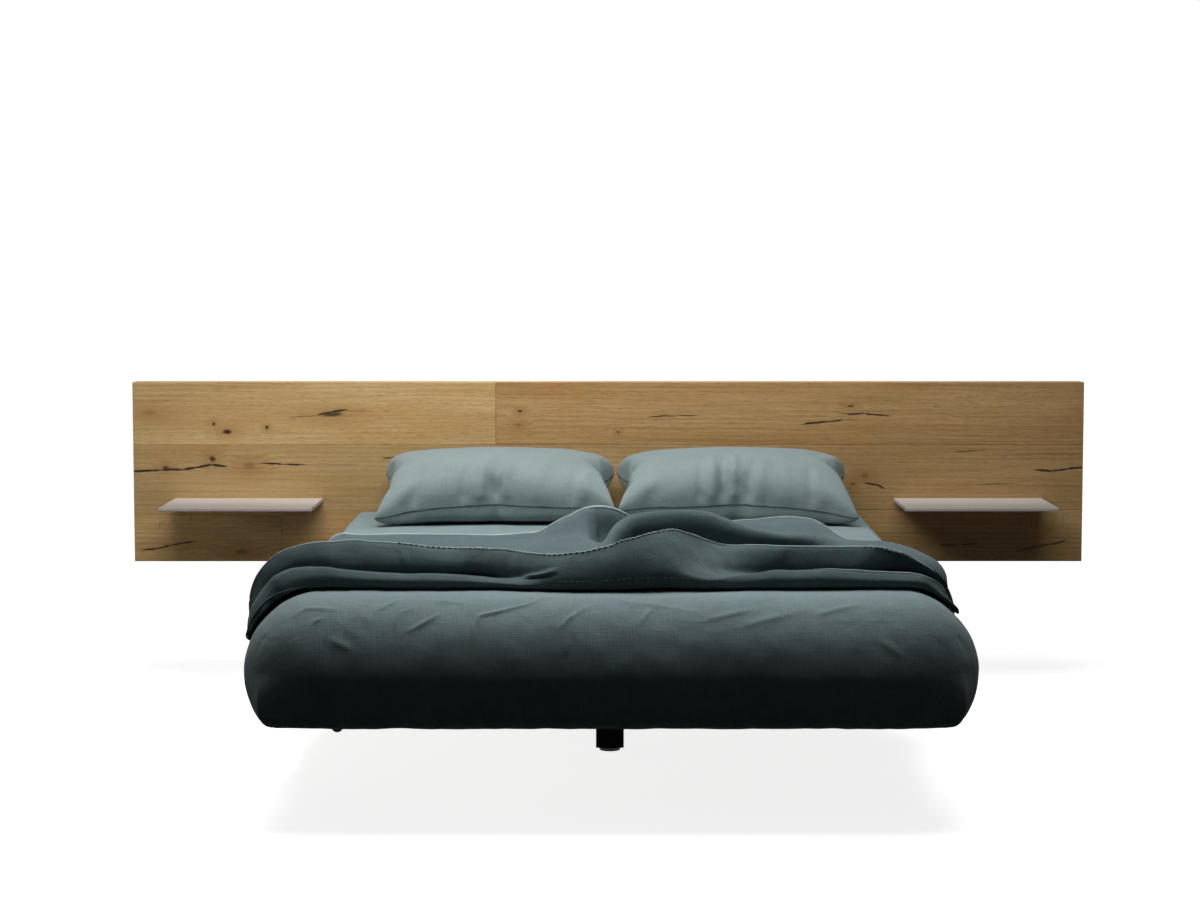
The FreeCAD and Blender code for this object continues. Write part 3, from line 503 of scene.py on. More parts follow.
for number, (plank, tones) in enumerate(plank_tones.items(), 1):
    wood = oak("oak_" + plank, number, tones, plank_knots.get(plank, ()), plank_cracks.get(plank, ()))
    dress(wood, "plank_" + plank)
dress(oak("oak_edge", edge_seed, honey), "edge_board_top", "edge_board_bottom")
dress(oak("oak_edge_upright", upright_seed, brown, upright=True), "edge_board_left", "edge_board_right")
dress(lacquer("rose_grey_lacquer", (0.540, 0.485, 0.452)), "shelf_left", "shelf_right")
dress(
    powder_coat("black_powder_coat", (0.010, 0.010, 0.012)),
    "wall_bracket", "head_rail", "foot_rail", "side_rail_left", "side_rail_right", "spine_beam",
    "cross_beam_left", "cross_beam_right", "corner_brackets", "leg_plate", "leg_column", "leg_insert",
    "shelf_clamp_left", "shelf_clamp_right",
)
dress(
    close_wood("birch_plywood", (0.60, 0.46, 0.29), (0.44, 0.31, 0.17)),
    "headboard_carrier", "panel_cleat", "wall_cleat", "headboard_spacer",
)
slats = ["slat_%02d" % number for number in range(1, 13)]
dress(close_wood("beech", (0.62, 0.44, 0.27), (0.47, 0.30, 0.16)), *slats)
dress(
    zinc("zinc_plate"),
    "cleat_screws", "shelf_clamp_screws", "frame_bolts", "leg_plate_bolts", "foot_stem", "foot_lock_nut",
)
dress(
    moulded("black_plastic", (0.022, 0.022, 0.024)),
    "slat_holders", "slat_saddles", "rail_end_plugs", "foot_pad",
)
dress(felt("grey_felt"), "foot_glide")
dress(ticking("mattress_ticking"), "mattress")

cover_linen = cloth("cover_linen", (0.245, 0.312, 0.318), (0.158, 0.210, 0.217), slub_share=0.6)
blanket_linen = cloth("blanket_linen", (0.102, 0.141, 0.147), (0.060, 0.087, 0.092))
pillow_linen = cloth("pillow_linen", (0.255, 0.306, 0.306), (0.189, 0.233, 0.235))
# Pale linen of the blanket's beads: its paleness is a painted highlight along the hem and crests
highlight_hem_linen = cloth("highlight_hem_linen", (0.40, 0.47, 0.475), (0.28, 0.34, 0.345))
pale_thread = plain_thread("pale_thread", (0.66, 0.72, 0.72))
hem_thread = plain_thread("hem_thread", (0.22, 0.27, 0.275))
# Dark bead of the pillow seams: painted shadow in the seam's crease
seam_shadow_thread = plain_thread("seam_shadow_thread", (0.08, 0.105, 0.11))


# Shapes

weld_distance = 0.0004
# A stitch: way to the next one, length, share of the length and of the girth along it
stitch_pitch, stitch_length = 0.014, 0.0085
stitch_profile = [(0.0, 0.15), (0.2, 0.9), (0.5, 1.0), (0.8, 0.9), (1.0, 0.15)]
stitch_sides, cord_sides = 6, 8
upright_axis = (0.0, 0.0, 1.0)


def smooth_through(knots, values, at):
    """Smooth curve through the values at rising knots, level past both ends."""
    knots, values = np.asarray(knots, float), np.asarray(values, float)
    steps = np.diff(knots)
    slopes = np.diff(values) / steps
    turn = np.zeros_like(values)
    turn[1:-1] = (slopes[:-1] * steps[1:] + slopes[1:] * steps[:-1]) / (steps[:-1] + steps[1:])
    turn[0], turn[-1] = slopes[0], slopes[-1]
    at = np.clip(at, knots[0], knots[-1])
    k = np.clip(np.searchsorted(knots, at) - 1, 0, len(steps) - 1)
    t = (at - knots[k]) / steps[k]
    stay, go = (1 + 2 * t) * (1 - t) ** 2, t * t * (3 - 2 * t)
    lean = steps[k] * (t * (1 - t) ** 2 * turn[k] - t * t * (1 - t) * turn[k + 1])
    return values[k] * stay + values[k + 1] * go + lean


def between(ends, share):
    return ends[0] + (ends[1] - ends[0]) * share


def lengths(vectors):
    return np.linalg.norm(vectors, axis=-1)


def unit(vectors):
    return vectors / np.maximum(lengths(vectors), 1e-9)[..., None]


def way_along(path):
    """Length of a path up to each of its points."""
    return np.concatenate([[0.0], np.cumsum(lengths(np.diff(path, axis=0)))])


def grid_piece(name, points, uv, material, closed=False):
    """Smooth-shaded mesh over a grid of points (rows, columns, 3), with its UV map in metres."""
    rows, columns = points.shape[:2]
    index = np.arange(rows * columns).reshape(rows, columns)
    if closed:
        index = np.column_stack([index, index[:, 0]])
    return face_piece(name, points.reshape(-1, 3), grid_faces(index), uv.reshape(-1, 2), material)


def grid_faces(index):
    """Faces between the neighbours in a grid of point numbers."""
    corners = [index[:-1, :-1], index[1:, :-1], index[1:, 1:], index[:-1, 1:]]
    return np.stack(corners, -1).reshape(-1, 4)


def face_piece(name, points, faces, uv, material):
    """Smooth-shaded mesh of points and faces, with a UV place for each point."""
    mesh = bpy.data.meshes.new(name)
    mesh.from_pydata([tuple(point) for point in points], [], [tuple(int(k) for k in face) for face in faces])
    layer = mesh.uv_layers.new(name="metres")
    corners = np.empty(len(mesh.loops), dtype=np.int32)
    mesh.loops.foreach_get("vertex_index", corners)
    layer.data.foreach_set("uv", np.asarray(uv, np.float32)[corners].ravel())
    mesh.polygons.foreach_set("use_smooth", np.ones(len(mesh.polygons), bool))
    mesh.materials.append(material)
    return add_object(name, mesh)


def weld(piece):
    """Joins points that lie on each other."""
    made = bmesh.new()
    made.from_mesh(piece.data)
    bmesh.ops.remove_doubles(made, verts=made.verts, dist=weld_distance)
    made.to_mesh(piece.data)
    made.free()


def thicken(piece, name, thickness):
    """Gives a surface its thickness on the inside."""
    shell = piece.modifiers.new(name, "SOLIDIFY")
    shell.thickness = thickness
    shell.offset = -1.0


def cord_piece(name, path, radius, material):
    """Round bead along a path of points, with one radius or one for each point."""
    path = np.asarray(path, float)
    radius = np.broadcast_to(radius, len(path))
    ahead = unit(np.gradient(path, axis=0))
    up = np.cross(ahead, upright_axis)
    weak = lengths(up) < 0.2
    up[weak] = np.cross(ahead[weak], (1.0, 0.0, 0.0))
    up = unit(up)
    out = np.cross(up, ahead)
    turn = np.linspace(0, 2 * np.pi, cord_sides, endpoint=False)
    ring = np.cos(turn)[None, :, None] * up[:, None] + np.sin(turn)[None, :, None] * out[:, None]
    points = path[:, None] + radius[:, None, None] * ring
    uv = np.stack(np.broadcast_arrays(way_along(path)[:, None], radius[:, None] * turn[None]), -1)
    return grid_piece(name, points, uv, material, closed=True)


def stitches(name, path, material, radius):
    """Running stitches along a path: one small bead for each."""
    run = way_along(path)
    shares, girths = np.array(stitch_profile).T
    turn = np.linspace(0, 2 * np.pi, stitch_sides, endpoint=False)
    rings = np.arange(len(shares) * stitch_sides).reshape(len(shares), stitch_sides)
    bead_faces = grid_faces(np.column_stack([rings, rings[:, 0]]))
    points, faces = [], []
    for begin in np.arange(0.5 * stitch_pitch, run[-1] - stitch_pitch, stitch_pitch):
        spine = np.stack([np.interp(begin + stitch_length * shares, run, path[:, k]) for k in range(3)], -1)
        ahead = unit(spine[-1] - spine[0])
        side = unit(np.cross(ahead, upright_axis))
        ring = np.outer(np.cos(turn), side) + np.outer(np.sin(turn), np.cross(side, ahead))
        faces.append(bead_faces + len(points) * rings.size)
        points.append((spine[:, None] + radius * girths[:, None, None] * ring).reshape(-1, 3))
    points = np.concatenate(points)
    return face_piece(name, points, np.concatenate(faces), np.zeros((len(points), 2)), material)


def ripples(points, waves):
    """Heights of smooth noise at each point, summed over waves of height, scale by axis and seed."""
    total = np.zeros(points.shape[:-1])
    for height, scale, seed in waves:
        places = points.reshape(-1, 3) * np.array(scale) + seed
        values = np.array([noise.noise(Vector(place)) for place in places])
        total += height * values.reshape(total.shape)
    return total


def outward_normals(points):
    """Unit normals of a grid of points that lies mostly face up."""
    across, along = np.gradient(points, axis=1), np.gradient(points, axis=0)
    out = unit(np.cross(across, along))
    return out if out[..., 2].sum() > 0 else -out


def crease(points, path, width, height):
    """Height of a soft ridge along a path of points, fading to its ends."""
    path = np.asarray(path, float)
    flat = points.reshape(-1, 3)
    best = np.full(len(flat), 1e9)
    place = np.zeros(len(flat))
    total = len(path) - 1
    for k in range(total):
        run = path[k + 1] - path[k]
        t = np.clip((flat - path[k]) @ run / (run @ run), 0, 1)
        away = lengths(flat - path[k] - t[:, None] * run)
        nearer = away < best
        best = np.where(nearer, away, best)
        place = np.where(nearer, (k + t) / total, place)
    fade = np.sin(np.pi * np.clip(place, 0.03, 0.97)) ** 0.6
    return (height * fade * np.exp(-(best / width) ** 2)).reshape(points.shape[:-1])


# Padded cover over mattress and base

cover_top = 0.5366
cover_head, cover_roll = 0.977, -0.915
cover_corner = 0.02
# The end of the line that the rows of the top spread from
spine_end = -0.60
# Extra width at the foot, and how square the hem's corners are there
cover_spread, hem_square = 0.016, 0.75
# At the head and at the foot: half width of the flat top, swell beyond it, tuck below, height of the
# widest line, hem
cover_half = (0.762, 0.700)
cover_swell = (0.042, 0.157)
cover_under = (0.014, 0.090)
cover_wide = (0.449, 0.364)
cover_hem = (0.245, 0.233)
# Share of the swell that is a round arc
arc_share = 0.92
# Counts of columns along a side, round a corner and along the foot
side_columns, corner_columns, foot_columns = 150, 70, 300
# Rows on the top as shares of the way out, rows down the swell and rows under it as angles
top_rows = np.concatenate([np.linspace(0, 0.80, 24), np.linspace(0.82, 1.0, 22)])[:-1]
swell_rows = np.radians(np.linspace(0, 90, 64))
under_rows = np.radians(np.linspace(0, 90, 24)[1:])
# Ways in under the hem, and their rise for each metre
hem_insets, inset_rise = (0.012, 0.030), 0.2
cover_waves = [(0.0022, (9.0, 9.0, 9.0), 4.0), (0.0012, (30.0, 24.0, 20.0), 9.0)]
# Wrinkles fade on the top, down to a least share, but not in front of the blanket
fade_over, fade_depth, least_wrinkle, bare_foot = 0.002, 0.012, 0.25, -0.83
# Deepest hollow on the top and below its shoulder
shoulder, top_hollow, side_hollow = 0.05, -0.0006, -0.009
cover_thickness, hem_radius = 0.003, 0.003
# Loop under the hem: middle, half width, drop and radius
loop_middle, loop_half, loop_drop, loop_radius = (-0.643, -1.0, cover_hem[1] + 0.002), 0.010, 0.009, 0.0036


def foot_spread(share):
    """Extra half width of the cover's sides, which grows towards the foot."""
    return cover_spread * share ** 4


def swell_push(swell, angle):
    """Way out from the flat top's edge at an angle down the swell."""
    return swell * (arc_share * np.sin(angle) + (1 - arc_share) * (1 - np.cos(angle)))


def cover_columns():
    """Top ring from head left to head right: places, ways outward and shares of the way to the foot."""
    foot_half = cover_half[1]
    lengthwise = np.linspace(cover_head, cover_roll + cover_corner, side_columns)
    share = (cover_head - lengthwise) / (cover_head - cover_roll)
    side = np.stack([-between(cover_half, share), lengthwise], -1)
    side_out = np.tile([-1.0, 0.0], (len(side), 1))
    turn = np.radians(np.linspace(0, 90, corner_columns)[1:-1])
    middle = np.array([-foot_half + cover_corner, cover_roll + cover_corner])
    bend_out = np.stack([-np.cos(turn), -np.sin(turn)], -1)
    bend = middle + cover_corner * bend_out
    foot_x = np.linspace(-foot_half + cover_corner, foot_half - cover_corner, foot_columns)
    foot = np.stack([foot_x, np.full_like(foot_x, cover_roll)], -1)
    foot_out = np.tile([0.0, -1.0], (len(foot), 1))
    left, left_out = np.concatenate([side, bend]), np.concatenate([side_out, bend_out])
    flip = np.array([-1.0, 1.0])
    place = np.concatenate([left, foot, (left * flip)[::-1]])
    out = np.concatenate([left_out, foot_out, (left_out * flip)[::-1]])
    share = np.concatenate([share, np.ones(2 * len(bend) + len(foot)), share[::-1]])
    return place, out, share


def cover_surface():
    """Grid of points, rows from the middle of the top to the hem, columns round the bed."""
    place, out, share = cover_columns()
    ends = (cover_swell, cover_under, cover_wide, cover_hem)
    swell, under, wide_z, hem = (between(pair, share) for pair in ends)
    spread = np.stack([out[:, 0] * foot_spread(share), np.zeros(len(out))], -1)
    square = out / np.abs(out).max(axis=1, keepdims=True)
    rows = []
    spine = np.stack([np.zeros(len(place)), np.clip(place[:, 1], spine_end, cover_head)], -1)
    for reach in top_rows:
        flat = spine + (place - spine) * reach
        rows.append(np.column_stack([flat, np.full(len(flat), cover_top)]))
    for angle in swell_rows:
        push = swell_push(swell, angle)[:, None]
        z = wide_z + (cover_top - wide_z) * np.cos(angle)
        rows.append(np.column_stack([place + out * push + spread * np.sin(angle) ** 2, z]))
    for angle in under_rows:
        push = under + (swell - under) * np.cos(angle)
        z = wide_z - (wide_z - hem) * np.sin(angle)
        low_out = between((out, square), hem_square * np.sin(angle))
        rows.append(np.column_stack([place + low_out * push[:, None] + spread, z]))
    for inset in hem_insets:
        low = place + low_out * (under - inset)[:, None] + spread
        rows.append(np.column_stack([low, hem + inset_rise * inset]))
    return np.array(rows)


def cover_uv(points):
    """Cloth places in metres: across and along the bed, unrolled over the sides or the foot."""
    place, out, _ = cover_columns()
    hangs = points[..., 2:] < cover_top
    run = np.zeros(points.shape[:2])
    run[1:] = np.cumsum(lengths(np.diff(points, axis=0)), axis=0)
    skirt = np.clip(run - run[len(top_rows)], 0, None)[..., None]
    return np.where(hangs, place + out * skirt, points[..., :2])


def make_cover():
    points = cover_surface()
    uv = cover_uv(points)
    lift = ripples(points, cover_waves)
    for path, width, height in cover_wrinkles:
        lift += crease(points, path, width, height)
    y, z = points[..., 1], points[..., 2]
    fade = np.clip((cover_top + fade_over - z) / fade_depth, 0, 1) + (y < bare_foot)
    lift *= np.clip(fade + least_wrinkle, 0, 1)
    # The top lies close on the mattress, so it hardly sinks
    lift = np.maximum(lift, np.where(z > cover_top - shoulder, top_hollow, side_hollow))
    points = points + outward_normals(points) * lift[..., None]
    cover = grid_piece("cover", points, uv, cover_linen)
    weld(cover)
    thicken(cover, "padding", cover_thickness)
    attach(cover, "mattress")
    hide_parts("bed_cover")
    hem_row = points[-1 - len(hem_insets)]
    hem = cord_piece("cover_hem", hem_row + np.array([0, 0, 0.001]), hem_radius, cover_linen)
    turn = np.linspace(0, np.pi, 11)
    bow = np.stack([-loop_half * np.cos(turn), np.zeros(len(turn)), -loop_drop * np.sin(turn)], -1)
    loop = cord_piece("cover_loop", loop_middle + bow, loop_radius, cover_linen)
    for piece in (hem, loop):
        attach(piece, "mattress")


def on_cover(px, py):
    """Spot on the cover's top or round foot that a pixel of the photo shows."""
    spots = [(y, cover_top) for y in np.linspace(spine_end, cover_roll, 120)]
    for angle in np.radians(np.linspace(0, 90, 240)):
        push = swell_push(cover_swell[1], angle)
        spots.append((cover_roll - push, between((cover_wide[1], cover_top), np.cos(angle))))
    misses = [abs(seen_at(px, py, y).z - z) for y, z in spots]
    return tuple(seen_at(px, py, spots[int(np.argmin(misses))][0]))


# Wrinkles as pixels of the photo, with width and height in metres, and the share that is taken of these two
wrinkle_pixels = [
    ([(555, 596), (526, 605), (502, 611), (480, 616), (474, 628), (474, 642)], 0.006, 0.0060),
    ([(441, 614), (424, 623), (405, 633)], 0.007, 0.0046),
    ([(410, 609), (400, 613), (396, 620), (396, 634)], 0.006, 0.0040),
    ([(377, 611), (391, 604), (399, 600)], 0.006, 0.0042),
    ([(287, 614), (306, 608), (339, 610)], 0.009, 0.0042),
    ([(312, 623), (323, 618)], 0.007, 0.0040),
    ([(641, 624), (646, 616), (652, 609)], 0.007, 0.0044),
    ([(560, 629), (568, 620), (590, 606)], 0.008, 0.0044),
    ([(566, 655), (568, 640)], 0.008, 0.0036),
    ([(700, 622), (752, 610)], 0.010, 0.0042),
    ([(740, 627), (800, 612)], 0.012, 0.0038),
    ([(815, 615), (862, 604)], 0.010, 0.0042),
    ([(620, 601), (700, 612)], 0.012, 0.0030),
    ([(430, 600), (470, 604)], 0.012, 0.0030),
    ([(330, 640), (352, 650)], 0.012, 0.0034),
    ([(880, 640), (900, 655)], 0.012, 0.0034),
]
wrinkle_share = 0.75
# Pleat at a corner of the foot: a groove and the fold beside it, with width and height
groove = [(0.812, -0.985, 0.437), (0.822, -0.978, 0.350), (0.812, -0.965, 0.250)], 0.010, -0.015
fold = [(0.780, -1.010, 0.440), (0.788, -1.010, 0.350), (0.778, -0.995, 0.260)], 0.018, 0.006

cover_wrinkles = [
    ([on_cover(*pixel) for pixel in pixels], wrinkle_share * width, wrinkle_share * height)
    for pixels, width, height in wrinkle_pixels
]
for side in (-1, 1):
    for path, width, height in (groove, fold):
        cover_wrinkles.append(([(side * x, y, z) for x, y, z in path], width, height))
make_cover()


# Blanket, turned back and bunched across the bed

path_top, path_clearance = 0.5375, 0.004
# Least height over the path: of a crest, of the outside of the cloth and of its hollows
least_crest, least_height, hollow_height = 0.009, 0.0072, 0.0075
# Least distance across between two rows of a crest line
crest_step = 0.004
blanket_columns, blanket_rows = 340, 280
blanket_thickness = 0.006
# Crest lines as pixels of the photo with their depth: upper hem, ridge, stitched cuff and lower roll
hem_pixels = [
    (334, 537, 0.25), (358, 535.5, 0.25), (382, 535.5, 0.25), (405, 537, 0.25), (429, 536.5, 0.25),
    (452, 537, 0.25), (476, 538, 0.24), (500, 535, 0.22), (523, 533, 0.20), (540, 531, 0.17),
    (556, 522, 0.13), (572, 515, 0.10), (588, 508.4, 0.08), (597, 507.2, 0.08), (610, 508.4, 0.08),
    (620, 511.8, 0.09), (628, 516, 0.11), (642, 526, 0.16), (700, 524, 0.22), (730, 521.5, 0.24),
    (752, 519.5, 0.25), (774, 517, 0.25), (793, 516.5, 0.25), (812, 519.5, 0.24), (823, 524, 0.21),
    (837, 534, 0.15), (850, 540, 0.12),
]
ridge_pixels = [
    (605, 540, -0.36), (612, 529, -0.36), (626, 518, -0.36), (642, 513.5, -0.36), (661, 511, -0.36),
    (678, 510, -0.36), (694, 510.5, -0.36), (708, 512.5, -0.36), (722, 517.5, -0.36), (738, 524.5, -0.36),
    (752, 528.5, -0.34), (768, 532, -0.31), (785, 534, -0.27), (801, 534.5, -0.22), (818, 535.5, -0.17),
    (848, 540, -0.10), (884, 541.5, -0.08), (903, 545, -0.08), (922, 552, -0.08), (938, 561, -0.08),
    (945, 572, -0.08), (947, 586, -0.08),
]
cuff_pixels = [
    (250, 609, -0.52), (252, 590, -0.53), (259, 573, -0.55), (276, 556, -0.57), (303, 546, -0.59),
    (334, 542.5, -0.60), (353, 540.5, -0.60), (372, 541.5, -0.60), (391, 543, -0.60), (410, 545, -0.60),
    (429, 547.5, -0.60), (464, 549, -0.61), (488, 549.5, -0.66), (507, 551, -0.72), (523, 553.5, -0.77),
    (540, 555, -0.818), (557, 555, -0.843), (573, 553.7, -0.852), (585, 552.6, -0.852),
    (600, 548.5, -0.850), (611, 545.7, -0.846), (620, 541.7, -0.845), (635, 538.2, -0.838),
    (647, 534.2, -0.827), (659, 532, -0.81), (671, 530.4, -0.79), (683.5, 532.7, -0.765),
    (695, 536, -0.73), (706.5, 540.5, -0.69), (720, 545, -0.66), (732, 546, -0.64), (752, 545.5, -0.62),
    (780, 547, -0.61), (834, 547, -0.60), (862, 547, -0.60), (881, 548, -0.60), (897, 552.5, -0.59),
    (916, 561, -0.57), (933, 571, -0.55), (944, 583, -0.53), (952, 600, -0.52), (954, 617, -0.52),
]
roll_pixels = [
    (247, 632, -0.815), (248, 618, -0.815), (254, 601.5, -0.825), (264, 587, -0.825),
    (275, 575.5, -0.835), (287, 569.5, -0.835), (306, 566.5, -0.835), (325, 566, -0.835),
    (341, 567.5, -0.835), (358, 570, -0.835), (377, 571.5, -0.835), (400, 573, -0.835),
    (452, 574, -0.835), (471, 575, -0.835), (490, 577.5, -0.835), (511, 580, -0.835), (523, 582, -0.835),
    (544, 583, -0.835), (575, 583, -0.835), (660, 582, -0.835), (703, 579.5, -0.835), (725, 575, -0.835),
    (747, 572.5, -0.835), (770, 571, -0.835), (793, 571, -0.835), (834, 569.5, -0.835),
    (862, 571, -0.835), (889, 572.5, -0.835), (911, 573.5, -0.835), (927, 577.5, -0.835),
    (941, 586, -0.825), (949, 600, -0.825), (954, 617, -0.815),
]
# The lines' unseen ends: place across, place along, height over the path
hem_left = [(-1.06, 0.22, 0.032), (-0.92, 0.24, 0.026), (-0.80, 0.25, 0.010)]
hem_right = [(0.78, 0.10, 0.010), (0.92, 0.12, 0.026), (1.06, 0.14, 0.032)]
ridge_left = [
    (-1.06, -0.10, 0.040), (-0.92, -0.10, 0.034), (-0.78, -0.10, 0.020), (-0.40, -0.10, 0.020),
    (-0.20, -0.12, 0.026), (-0.07, -0.15, 0.036),
]
ridge_right = [(1.06, -0.08, 0.050)]
cuff_ends = [(-1.06, -0.50, 0.030), (1.06, -0.50, 0.012)]
roll_ends = [(-1.06, -0.77, 0.012), (1.06, -0.77, 0.010)]
# Heights in the hollows behind the ridge and in front of it, by place across
hem_valley = [
    (-1.06, 0.034), (-0.92, 0.028), (-0.78, 0.013), (-0.47, 0.014), (-0.30, 0.016), (-0.20, 0.024),
    (-0.12, 0.040), (-0.06, 0.054), (-0.01, 0.040), (0.03, 0.026), (0.10, 0.030), (0.20, 0.032),
    (0.30, 0.030), (0.40, 0.030), (0.50, 0.034), (0.60, 0.030), (0.66, 0.018), (0.78, 0.014),
    (0.92, 0.030), (1.06, 0.036),
]
ridge_valley = [
    (-1.06, 0.016), (-0.78, 0.016), (-0.34, 0.016), (-0.10, 0.020), (0.03, 0.018), (0.20, 0.018),
    (0.50, 0.018), (0.75, 0.018), (0.85, 0.013), (1.06, 0.012),
]
# How far each fold tucks under itself, from 0 to 1
ridge_folds = [
    (-1.06, 0.0), (-0.02, 0.0), (0.03, 0.6), (0.06, 1.0), (0.45, 1.0), (0.55, 0.6), (0.64, 0.3),
    (1.06, 0.3),
]
cuff_folds = [
    (-1.06, 1.0), (-0.30, 1.0), (-0.25, 0.75), (-0.19, 0.35), (-0.13, 0.0), (0.16, 0.0), (0.24, 0.2),
    (0.32, 0.6), (0.42, 1.0), (1.06, 1.0),
]
# Where the front of the upper hem falls straight, from 0 to 1
hem_steep = [
    (-1.06, 0.0), (-0.105, 0.0), (-0.07, 0.15), (-0.035, 1.0), (0.10, 1.0), (0.20, 0.0), (1.06, 0.0),
]
# Reach of the sides by share of the way from the upper hem to the edge: they hang lower at the head end
# than at the foot end, and the right one less than the left one
hang_left = [(0.0, 1.055), (0.45, 1.05), (0.60, 1.01), (0.72, 0.945), (1.0, 0.905)]
hang_right = [(0.0, 1.055), (0.30, 1.03), (0.55, 0.97), (0.70, 0.88), (1.0, 0.80)]
# Place along of the edge where the cuff lies open, by place across
open_edge = [(-1.06, -0.83), (-0.9, -0.85), (-0.78, -0.86), (0.78, -0.86), (0.9, -0.85), (1.06, -0.83)]
# Places across and values: how open the roll lies, depth of the cuff's tuck, how round the bow is
roll_opening = ([-0.86, -0.70], [1.0, 0.0])
cuff_depths = ([-0.95, -0.75, 0.05, 0.15], [1.7, 0.85, 0.85, 0.4])
bow_rounding = ([0.06, 0.26], [0.0, 1.0])
# Spots down the front of a fold, as run forward and share of its height: tucked under, leaning, on the lower
# roll, and on that roll where it lies open at its left end; then a plain slope with shares of the run
tucked = [(0.007, 0.95), (0.022, 0.76), (0.035, 0.50), (0.038, 0.24), (0.024, 0.03), (0.075, 0.03)]
leaning = [(0.009, 0.93), (0.015, 0.76), (0.009, 0.50), (-0.004, 0.24), (-0.008, 0.03), (0.060, 0.03)]
roll_front = [(0.005, 0.95), (0.015, 0.75), (0.022, 0.50), (0.016, 0.08), (-0.006, 0.0)]
roll_open = [(0.012, 0.93), (0.026, 0.70), (0.038, 0.40), (0.047, 0.12), (0.052, 0.0)]
sloped = [(0.10, 0.95), (0.28, 0.80), (0.46, 0.62), (0.64, 0.44), (0.82, 0.27), (1.0, 0.14)]
# Down the front where it bows out: share of the run to the edge, way back under it, share of the height
bowed_steep = [
    (0.07, 0.0, 0.985), (0.16, 0.0, 0.95), (0.30, 0.0, 0.89), (0.47, 0.0, 0.81), (0.63, 0.0, 0.71),
    (0.79, 0.0, 0.59), (0.90, 0.0, 0.47), (0.97, 0.0, 0.36), (1.0, 0.0, 0.26), (1.0, 0.001, 0.17),
    (1.0, 0.004, 0.09), (1.0, 0.008, 0.03), (1.0, 0.020, 0.0),
]
bowed_round = [
    (0.10, 0.0, 0.965), (0.22, 0.0, 0.91), (0.36, 0.0, 0.83), (0.51, 0.0, 0.73), (0.66, 0.0, 0.62),
    (0.80, 0.0, 0.50), (0.91, 0.0, 0.39), (0.98, 0.0, 0.29), (1.0, 0.002, 0.20), (1.0, 0.006, 0.13),
    (1.0, 0.012, 0.07), (1.0, 0.020, 0.02), (1.0, 0.030, 0.0),
]
# Numbers of spots down the section, from the upper hem on, and their count
hem_spot, hem_front, hollow_spot, ridge_spot, ridge_front = 0, 1, 2, 4, 8
cuff_spot, cuff_front, roll_spot, edge_spot, spot_count = 13, 17, 21, 24, 27
# Least way that counts between two spots
spot_step = 0.004
blanket_waves = [(0.0045, (5.0, 8.0, 7.0), 21.0), (0.0018, (20.0, 26.0, 20.0), 35.0)]
# Path, width and height of single wrinkles
blanket_wrinkles = [
    ([(-0.062, 0.06, 0.630), (-0.080, -0.10, 0.604), (-0.115, -0.30, 0.587)], 0.012, 0.024),
    ([(-0.25, -0.610, 0.610), (-0.265, -0.640, 0.570)], 0.007, 0.005),
    ([(-0.52, -0.610, 0.610), (-0.51, -0.640, 0.570)], 0.010, 0.004),
    ([(0.30, -0.30, 0.570), (0.20, -0.45, 0.580), (0.12, -0.60, 0.620)], 0.022, 0.010),
    ([(0.46, 0.20, 0.590), (0.52, 0.08, 0.575), (0.50, -0.05, 0.580)], 0.020, 0.012),
    ([(-0.72, 0.20, 0.545), (-0.40, 0.10, 0.550), (-0.20, 0.08, 0.560)], 0.022, 0.007),
    ([(-0.60, -0.10, 0.560), (-0.35, -0.20, 0.560), (-0.15, -0.28, 0.570)], 0.024, 0.008),
    ([(0.62, -0.18, 0.560), (0.72, -0.30, 0.565), (0.78, -0.42, 0.560)], 0.020, 0.008),
]
# Half width within which hollows keep to the room above the cover, and the share of them beyond it
level_half, side_share = 0.72, 0.3
# Rows, counted from the edge, of the lower hem and of the stitches along it, and where these start and end
lower_hem_row, edge_row, edge_stitches = -4, -9, (-0.16, 0.28)
# Where the stitches on the cuff and the pale bead on the roll, a painted highlight along its crest, start
# and end
cuff_stitches = {"left": (-0.54, 0.30), "right": (0.62, 0.745)}
roll_highlight_ends, roll_highlight_radius, roll_highlight_tip = (0.48, 0.80), 0.0026, 0.15
# Ways from the cuff's crest to its seam and to its stitches, which get more at the right
seam_shift, stitch_shift = (0.0, 0.002, 0.0005), (0.0, -0.0008, 0.0032)
right_start, right_shift = 0.6, (0.0, -0.0012, 0.0010)
# Way from the roll's crest to the pale bead that paints its highlight
roll_highlight_shift = (0.0, 0.001, 0.0004)


def path_section(along):
    """Half width of the flat top where the blanket lies, and width and height of the bend beside it."""
    share = np.clip((cover_head - along) / (cover_head - cover_roll), 0, 1)
    wide = between(cover_swell, share) + foot_spread(share) + path_clearance
    return between(cover_half, share), wide, path_top - between(cover_wide, share)


def crest_line(pixels, ends):
    """Table of place across, place along and height over the path for a line of pixels."""
    table = list(ends)
    for px, py, y in pixels:
        spot = seen_at(px, py, y)
        flat, wide, tall = path_section(y)
        reach, rise = abs(spot.x) - flat, spot.z - path_top + tall
        across, height = abs(spot.x), spot.z - path_top
        if reach > 0 and rise > 0:
            turn = math.atan2(reach / wide, rise / tall)
            across = flat + (wide + tall) / 2 * turn
            height = math.hypot(reach, rise) - math.hypot(wide * math.sin(turn), tall * math.cos(turn))
        elif reach > 0:
            across = flat + (wide + tall) / 2 * math.pi / 2 - rise
            height = reach - wide
        table.append((math.copysign(across, spot.x), y, max(height, least_crest)))
    table.sort()
    return [row for k, row in enumerate(table) if k == 0 or row[0] - table[k - 1][0] > crest_step]


def value_at(line, across, column=1):
    """Value in one column of a table at places across."""
    table = np.array(line)
    return smooth_through(table[:, 0], table[:, column], across)


def share_at(line, across):
    return np.clip(value_at(line, across), 0, 1)


def crest_at(line, across):
    """Place along and height of a crest line at places across."""
    return value_at(line, across), value_at(line, across, 2)


